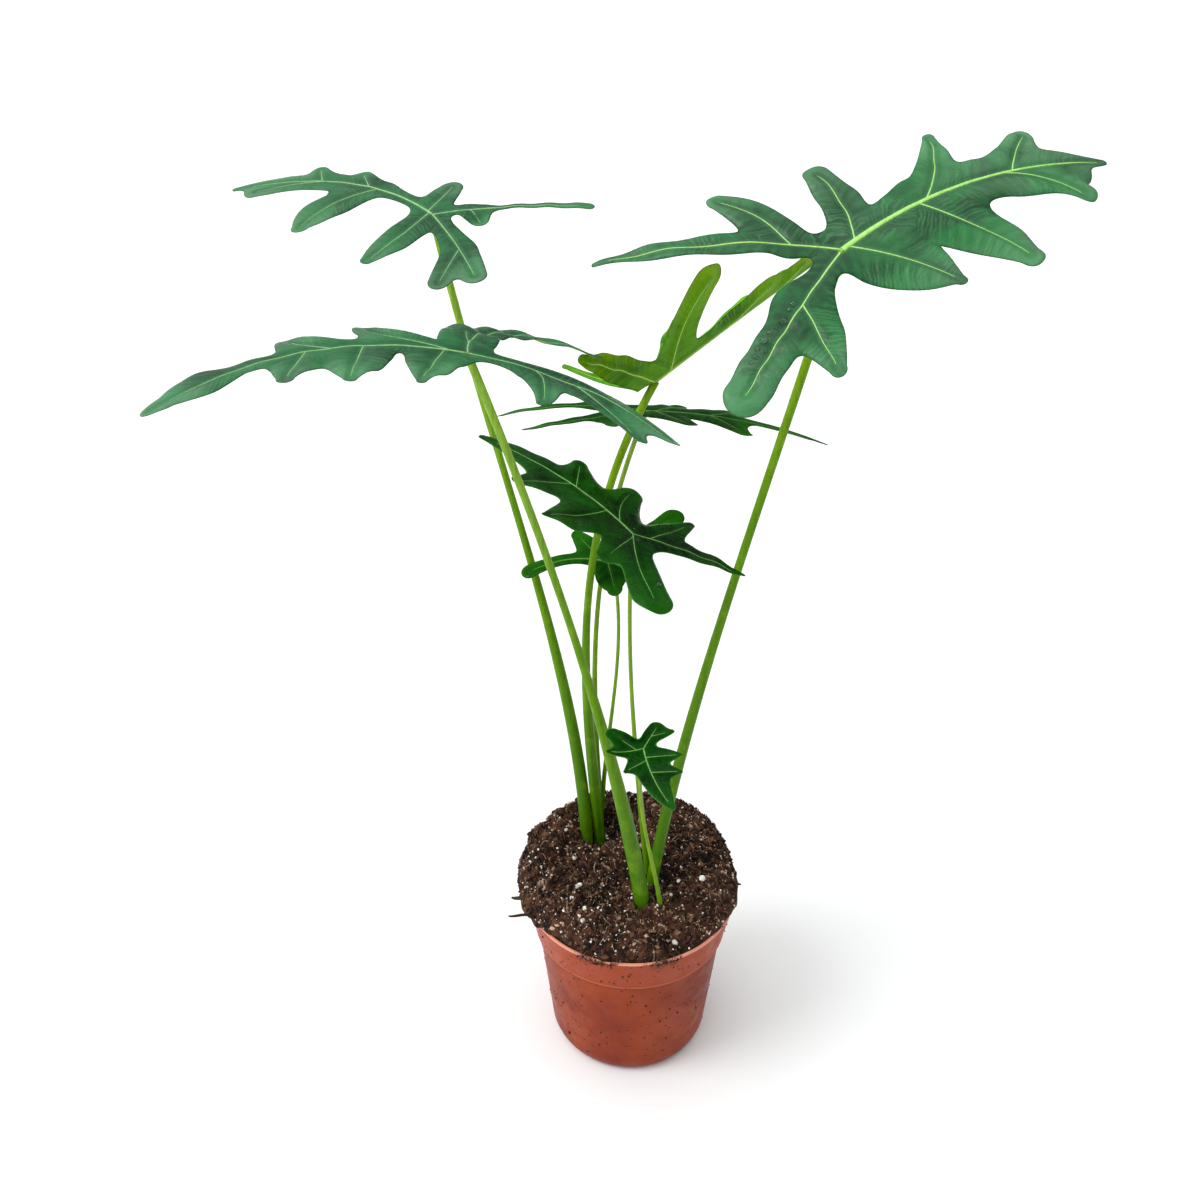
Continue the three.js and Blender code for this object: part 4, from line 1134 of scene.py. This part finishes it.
# Many small lumps in one mesh, each turned, squeezed and roughened in its own way
def lumps(name, places, sizes, squeeze, roughness, seed, material, subdivisions=2, tones=None):
    random = np.random.default_rng(seed)
    corners, faces = round_base(subdivisions)
    count = len(places)
    turns, _ = np.linalg.qr(random.normal(size=(count, 3, 3)))
    if squeeze[2] < 0.5:
        tilt = random.normal(scale=0.35, size=(count, 2))
        heading = random.uniform(0, TURN, count)
        cos, sin, zero = np.cos(heading), np.sin(heading), np.zeros(count)
        rows = [cos, -sin, tilt[:, 0], sin, cos, tilt[:, 1], zero, zero, zero + 1]
        turns = np.stack(rows, axis=1).reshape(-1, 3, 3)
    scale = np.asarray(squeeze) * random.uniform(0.75, 1.25, (count, 3)) * np.asarray(sizes)[:, None]
    jitter = 1 + roughness * random.uniform(-1, 1, (count, len(corners), 1))
    shaped = np.einsum("nij,nkj->nki", turns, corners * jitter * scale[:, None]) + places[:, None]
    faces = faces + np.arange(count)[:, None, None] * len(corners)
    piece = make_piece(name, shaped.reshape(-1, 3), faces.reshape(-1, 3), [material], smooth=False)
    tones = random.uniform(0, 1, count) if tones is None else tones
    mark(piece, tone=np.repeat(tones, len(corners)))
    settle(piece, "soil")


# Thin tubes along many paths, each tapering to its ends
def threads(name, paths, radii, material, seed, sides=4):
    random = np.random.default_rng(seed)
    count, steps = paths.shape[:2]
    taper = np.sin(np.linspace(0.25, math.pi - 0.2, steps)) ** 0.5
    size = np.asarray(radii)[:, None, None] * taper[:, None]
    places = rings_along(paths, size, spokes(sides), THREAD_ASIDE)
    points = steps * sides
    base = tube_faces(steps, sides)
    faces = [[corner + index * points for corner in face] for index in range(count) for face in base]
    piece = make_piece(name, places, faces, [material])
    mark(piece, tone=np.repeat(random.uniform(0, 1, count), points))
    settle(piece, "soil")


# Random places on the soil, with a share of them drawn to the front
def scatter(count, random, reach=1.0, front=0.0):
    angle = random.uniform(0, TURN, count)
    radius = (ragged_edge(angle) - 0.3) * np.sqrt(random.uniform(0, 1, count)) * reach
    x, y = radius * np.cos(angle), radius * np.sin(angle)
    return x, y - front * (y + POT_TOP_RADIUS) * random.uniform(0, 1, count)


def build_crumbs(material):
    random = np.random.default_rng(21)
    x, y = scatter(CRUMB_COUNT, random)
    sizes = 0.28 + 1.8 * random.beta(1.1, 4.5, CRUMB_COUNT)
    # Crumbs and clods are darker in the painted shade round the stems' feet
    tones = np.clip(1.1 * random.beta(1.4, 2.8, CRUMB_COUNT) - stem_shade_and_patches(x, y), 0, 1)
    lumps("soil_crumbs", on_soil(x, y, 0.25 * sizes), sizes, (1, 0.8, 0.7), 0.32, 22, material, 1, tones)
    angle = random.uniform(0, TURN, FLANK_CRUMB_COUNT)
    on_flank, tall = flank_places(angle, random.uniform(0, 0.94, FLANK_CRUMB_COUNT))
    on_flank = on_flank[tall > random.uniform(1, 14, FLANK_CRUMB_COUNT)]
    sizes = 0.3 + 1.5 * random.beta(1.1, 4.5, len(on_flank))
    tones = random.beta(1.4, 2.8, len(on_flank))
    lumps("flank_crumbs", on_flank, sizes, (1, 0.8, 0.7), 0.32, 24, material, 1, tones)
    x, y = scatter(CLOD_COUNT, random)
    sizes = 0.9 + 1.4 * random.beta(1.2, 3.0, CLOD_COUNT)
    tones = np.clip(random.beta(1.5, 3.0, CLOD_COUNT) - stem_shade_and_patches(x, y), 0, 1)
    lumps("soil_clods", on_soil(x, y, 0), sizes, (1, 0.85, 0.7), 0.3, 23, material, 2, tones)


# White perlite: big grains where the eye meets them, small ones all over
BIG_PERLITE = np.array([
    (-31, -1), (-28, -17), (-29, -20), (-25, -34), (-26, -40), (-28, -37), (26, -13),
    (38, -15), (21, -25), (22, -48), (-36, 17),
], float)


def build_perlite():
    random = np.random.default_rng(31)
    white = earth_material("perlite", (200, 192, 180), (242, 238, 230), (254, 253, 250), 0.9, 900, 0.0002)
    x, y = scatter(PERLITE_COUNT, random, 0.98, 0.15)
    x, y = np.concatenate([np.column_stack([x, y]), BIG_PERLITE]).T
    sizes = 0.26 + 0.75 * random.beta(1.1, 3.2, PERLITE_COUNT)
    sizes = np.concatenate([sizes, random.uniform(1.1, 1.9, len(BIG_PERLITE))])
    lumps("perlite_grains", on_soil(x, y, 0.6 * sizes), sizes, (1, 0.8, 0.75), 0.22, 32, white)


def build_bark():
    random = np.random.default_rng(41)
    brown = earth_material("bark_chip", (58, 38, 28), (108, 76, 56), (158, 122, 92), 0.85, 700)
    x, y = scatter(BARK_COUNT, random)
    sizes = random.uniform(0.9, 2.6, BARK_COUNT)
    tones = random.beta(2, 2, BARK_COUNT)
    lumps("bark_chips", on_soil(x, y, 0.35), sizes, (1, 0.55, 0.22), 0.25, 42, brown, 2, tones)


# Fibres lie on the soil and arch out of it
def build_fibres():
    random = np.random.default_rng(51)
    x, y = scatter(FIBRE_COUNT, random, 0.98)
    heading = random.uniform(0, TURN, FIBRE_COUNT)[:, None]
    bend = random.normal(scale=1.1, size=FIBRE_COUNT)[:, None]
    length = (1.5 + 10 * random.beta(1.2, 4, FIBRE_COUNT))[:, None]
    share = np.linspace(0, 1, THREAD_STEPS)
    turn = heading + bend * share
    x = x[:, None] + np.cumsum(np.cos(turn), 1) * length / THREAD_STEPS
    y = y[:, None] + np.cumsum(np.sin(turn), 1) * length / THREAD_STEPS
    shrink = np.minimum(1, (POT_TOP_RADIUS + 0.6) / np.hypot(x, y))
    x, y = x * shrink, y * shrink
    ground = soil_height(x.ravel(), y.ravel()).reshape(x.shape)
    ground = np.maximum(ground, ground.mean(1, keepdims=True) - 0.6)
    arch = random.uniform(0.2, 2.2, FIBRE_COUNT)[:, None] * np.sin(math.pi * share) + 0.35
    pale = earth_material("soil_fibre", (50, 30, 20), (128, 94, 70), (206, 178, 152), 0.8, 800, 0.0001)
    paths = np.stack([x, y, ground + arch], axis=-1)
    threads("soil_fibres", paths, random.uniform(0.07, 0.19, FIBRE_COUNT), pale, 52, 3)
    build_rim_threads(random)


# The way of a root over the rim: radius past the rim, height over it, and share of its fall
ROOT_OUT = np.array([-5, -2.5, -0.6, 0.3, 0.6, 0.6, 0.5, 0.4, 0.3])
ROOT_RISE = np.array([2.0, 1.5, 1.0, 0.6, 0.1, 0.1, 0.1, 0.1, 0.1])
ROOT_FALL = np.array([0, 0, 0, 0, 0.12, 0.35, 0.58, 0.8, 1.0])
# Short sticks at the edge of the soil: the two ends of each
STICKS = (
    ((-53, -27, 103.5), (-66, -25, 103)), ((-57, -16, 104), (-65, -12.5, 104.5)),
    ((30, -12, 115.5), (48, -4, 117)), ((52, -3, 107), (61.5, -4, 106)),
)


# Roots hang over the front of the rim where the soil spills, and sticks lie at the edge
def build_rim_threads(random):
    dark = earth_material("soil_stick", (30, 22, 16), (66, 50, 38), (120, 94, 72), 0.8, 800, 0.0001)
    right, left = random.normal(SPILL_RIGHT, 5, ROOT_COUNT), random.normal(SPILL_LEFT, 7, ROOT_COUNT)
    angle = np.radians(np.where(np.arange(ROOT_COUNT) % 2, right, left))
    drop = 1 + 7 * random.beta(1.2, 2.5, (ROOT_COUNT, 1))
    swing = angle[:, None] + np.cumsum(random.normal(scale=0.018, size=(ROOT_COUNT, THREAD_STEPS)), 1)
    lean = POT_TOP_RADIUS + ROOT_OUT - 0.18 * ROOT_FALL * drop
    lean = lean + random.uniform(0, 1.2, (ROOT_COUNT, 1)) * ROOT_FALL ** 2
    paths = polar(lean, swing, POT_HEIGHT + ROOT_RISE - ROOT_FALL * drop)
    threads("rim_roots", paths, random.uniform(0.07, 0.24, ROOT_COUNT), dark, 53)
    share = np.linspace(0, 1, THREAD_STEPS)[:, None]
    start, end = np.array(STICKS)[:, :, None].transpose(1, 0, 2, 3)
    sticks = start + (end - start) * share + np.sin(share * 5) * 0.5
    threads("rim_sticks", sticks, (0.8, 1.1, 0.5, 0.9), dark, 54, 7)


# Specks of soil stuck to the outside of the pot, many of them under the spills
def build_specks(material):
    random = np.random.default_rng(61)
    angle = random.uniform(0, TURN, SPECK_COUNT)
    z = random.uniform(6, POT_HEIGHT - 3, SPECK_COUNT)
    fallen = np.arange(FALLEN_SPECK_COUNT)
    spill = np.where(fallen % 2, SPILL_RIGHT, SPILL_LEFT)
    angle[fallen] = np.radians(spill + random.normal(0, 6, FALLEN_SPECK_COUNT))
    z[fallen] = POT_HEIGHT - 0.6 - 5 * random.beta(1.1, 3.5, FALLEN_SPECK_COUNT)
    share = np.clip((z - BAND_LOW) / (POT_HEIGHT - BAND_LOW), 0, 1)
    on_band = BAND_LOW_RADIUS + (POT_TOP_RADIUS - BAND_LOW_RADIUS) * share
    places = polar(np.where(z > BAND_LOW, on_band, pot_radius(z)), angle, z)
    sizes = 0.28 + 1.2 * random.beta(1.1, 5, SPECK_COUNT)
    tones = random.uniform(0, 0.5, SPECK_COUNT)
    lumps("pot_specks", places, sizes, (1, 0.8, 0.7), 0.3, 62, material, 1, tones)


# Water drops lie on some blades: u, v and radius
DROPS = dict(
    a=(
        (-33, -12, 1.5), (-36, -14, 1.1), (-41, -17, 1.8), (-45, -18, 0.9), (-49, -19, 1.2), (-53, -21, 1.9),
        (-57, -22, 1.4), (-55, -25, 0.9), (-60, -25, 1.6), (-63, -27, 1.1), (-8, -26, 1.1), (-12, -29, 0.8),
        (112, -28, 1.1),
    ),
    f=((-30, 22, 1.2), (-4, 3, 1.4), (2, -3, 0.9)),
    g=((44, 2, 1.1), (40, 3, 0.8), (37, 1, 0.9)),
)


def build_drops():
    form, faces = round_base(3)
    form = form * (1.0, 0.9, 0.75)
    vertices, shells = [], []
    for name, rows in DROPS.items():
        leaf = LEAVES[name]
        for u, v, radius in rows:
            spot, normal, field = blade_places(leaf, np.array([[u, v]], float))
            if field.value[0] < -radius:
                shells += (faces + len(form) * len(vertices)).tolist()
                vertices.append(form * radius + spot + normal * BLADE_THICK / 2)
    piece = make_piece("water_drops", np.concatenate(vertices), shells, [water_material()])
    settle(piece, "blade")


for grown_leaf in LEAVES.values():
    build_blade(grown_leaf)
    build_stem(grown_leaf)
build_pot()
build_soil()
crumb_material = earth_material("soil_crumb", (10, 6, 4), (86, 58, 42), (208, 176, 150))
build_crumbs(crumb_material)
build_perlite()
build_bark()
build_fibres()
build_specks(crumb_material)
build_drops()

rhizome_skin = rhizome_material()
for side in ("left", "right"):
    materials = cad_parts[f"rhizome_{side}"].data.materials
    materials.clear()
    materials.append(rhizome_skin)


# Floor, light and camera
SKY_LOW = 0.2
SKY_HIGH = 2.0
SKY_FALL = 4
SIDE_GLOW = 0.95
KEY_STRENGTH = 1.2
KEY_SOFTNESS = math.radians(28)
KEY_WAY = (1.0, 0.35, -1.15)
CAMERA_PLACE = (-0.017, -0.501, 0.574)
CAMERA_TILT = math.radians(60)
CAMERA_LENS = 36.0


def build_floor():
    skin = Skin("pale_floor")
    tint = skin.coats((244.9, 246.7, 247.3), (skin.noise(2).span(0.3, 0.7), (247.3, 249.1, 249.7)))
    bpy.ops.mesh.primitive_plane_add(size=40)
    floor = bpy.context.object
    floor.name = "floor"
    floor.data.materials.append(skin.finish(tint, 0.7, Specular_IOR_Level=0.2))


# Sky of a white tent: bright overhead and at the left, and dim near the ground
def build_light():
    world = bpy.data.worlds.new("studio")
    world.use_nodes = True
    sky = Shader(world.node_tree)
    heading = sky.node("TexCoord", output="Generated")
    overhead = sky.part(heading, "Z") ** SKY_FALL
    left = sky.maths("MAXIMUM", sky.part(heading, "X") * -1, 0)
    background = world.node_tree.nodes["Background"]
    background.inputs["Color"].default_value = (1, 1, 1, 1)
    sky.feed(background.inputs["Strength"], overhead * SKY_HIGH + left * SIDE_GLOW + SKY_LOW)
    bpy.context.scene.world = world
    key = bpy.data.lights.new("key", "SUN")
    key.energy, key.angle = KEY_STRENGTH, KEY_SOFTNESS
    lamp = bpy.data.objects.new("key", key)
    lamp.rotation_euler = Vector(KEY_WAY).to_track_quat("-Z", "Y").to_euler()
    bpy.context.scene.collection.objects.link(lamp)


def build_camera():
    data = bpy.data.cameras.new("camera")
    data.lens, data.sensor_width = CAMERA_LENS, CAMERA_LENS
    camera = bpy.data.objects.new("camera", data)
    camera.location = CAMERA_PLACE
    camera.rotation_euler = (CAMERA_TILT, 0, 0)
    bpy.context.scene.collection.objects.link(camera)
    bpy.context.scene.camera = camera
    bpy.context.scene.view_settings.view_transform = "Standard"


build_floor()
build_light()
build_camera()
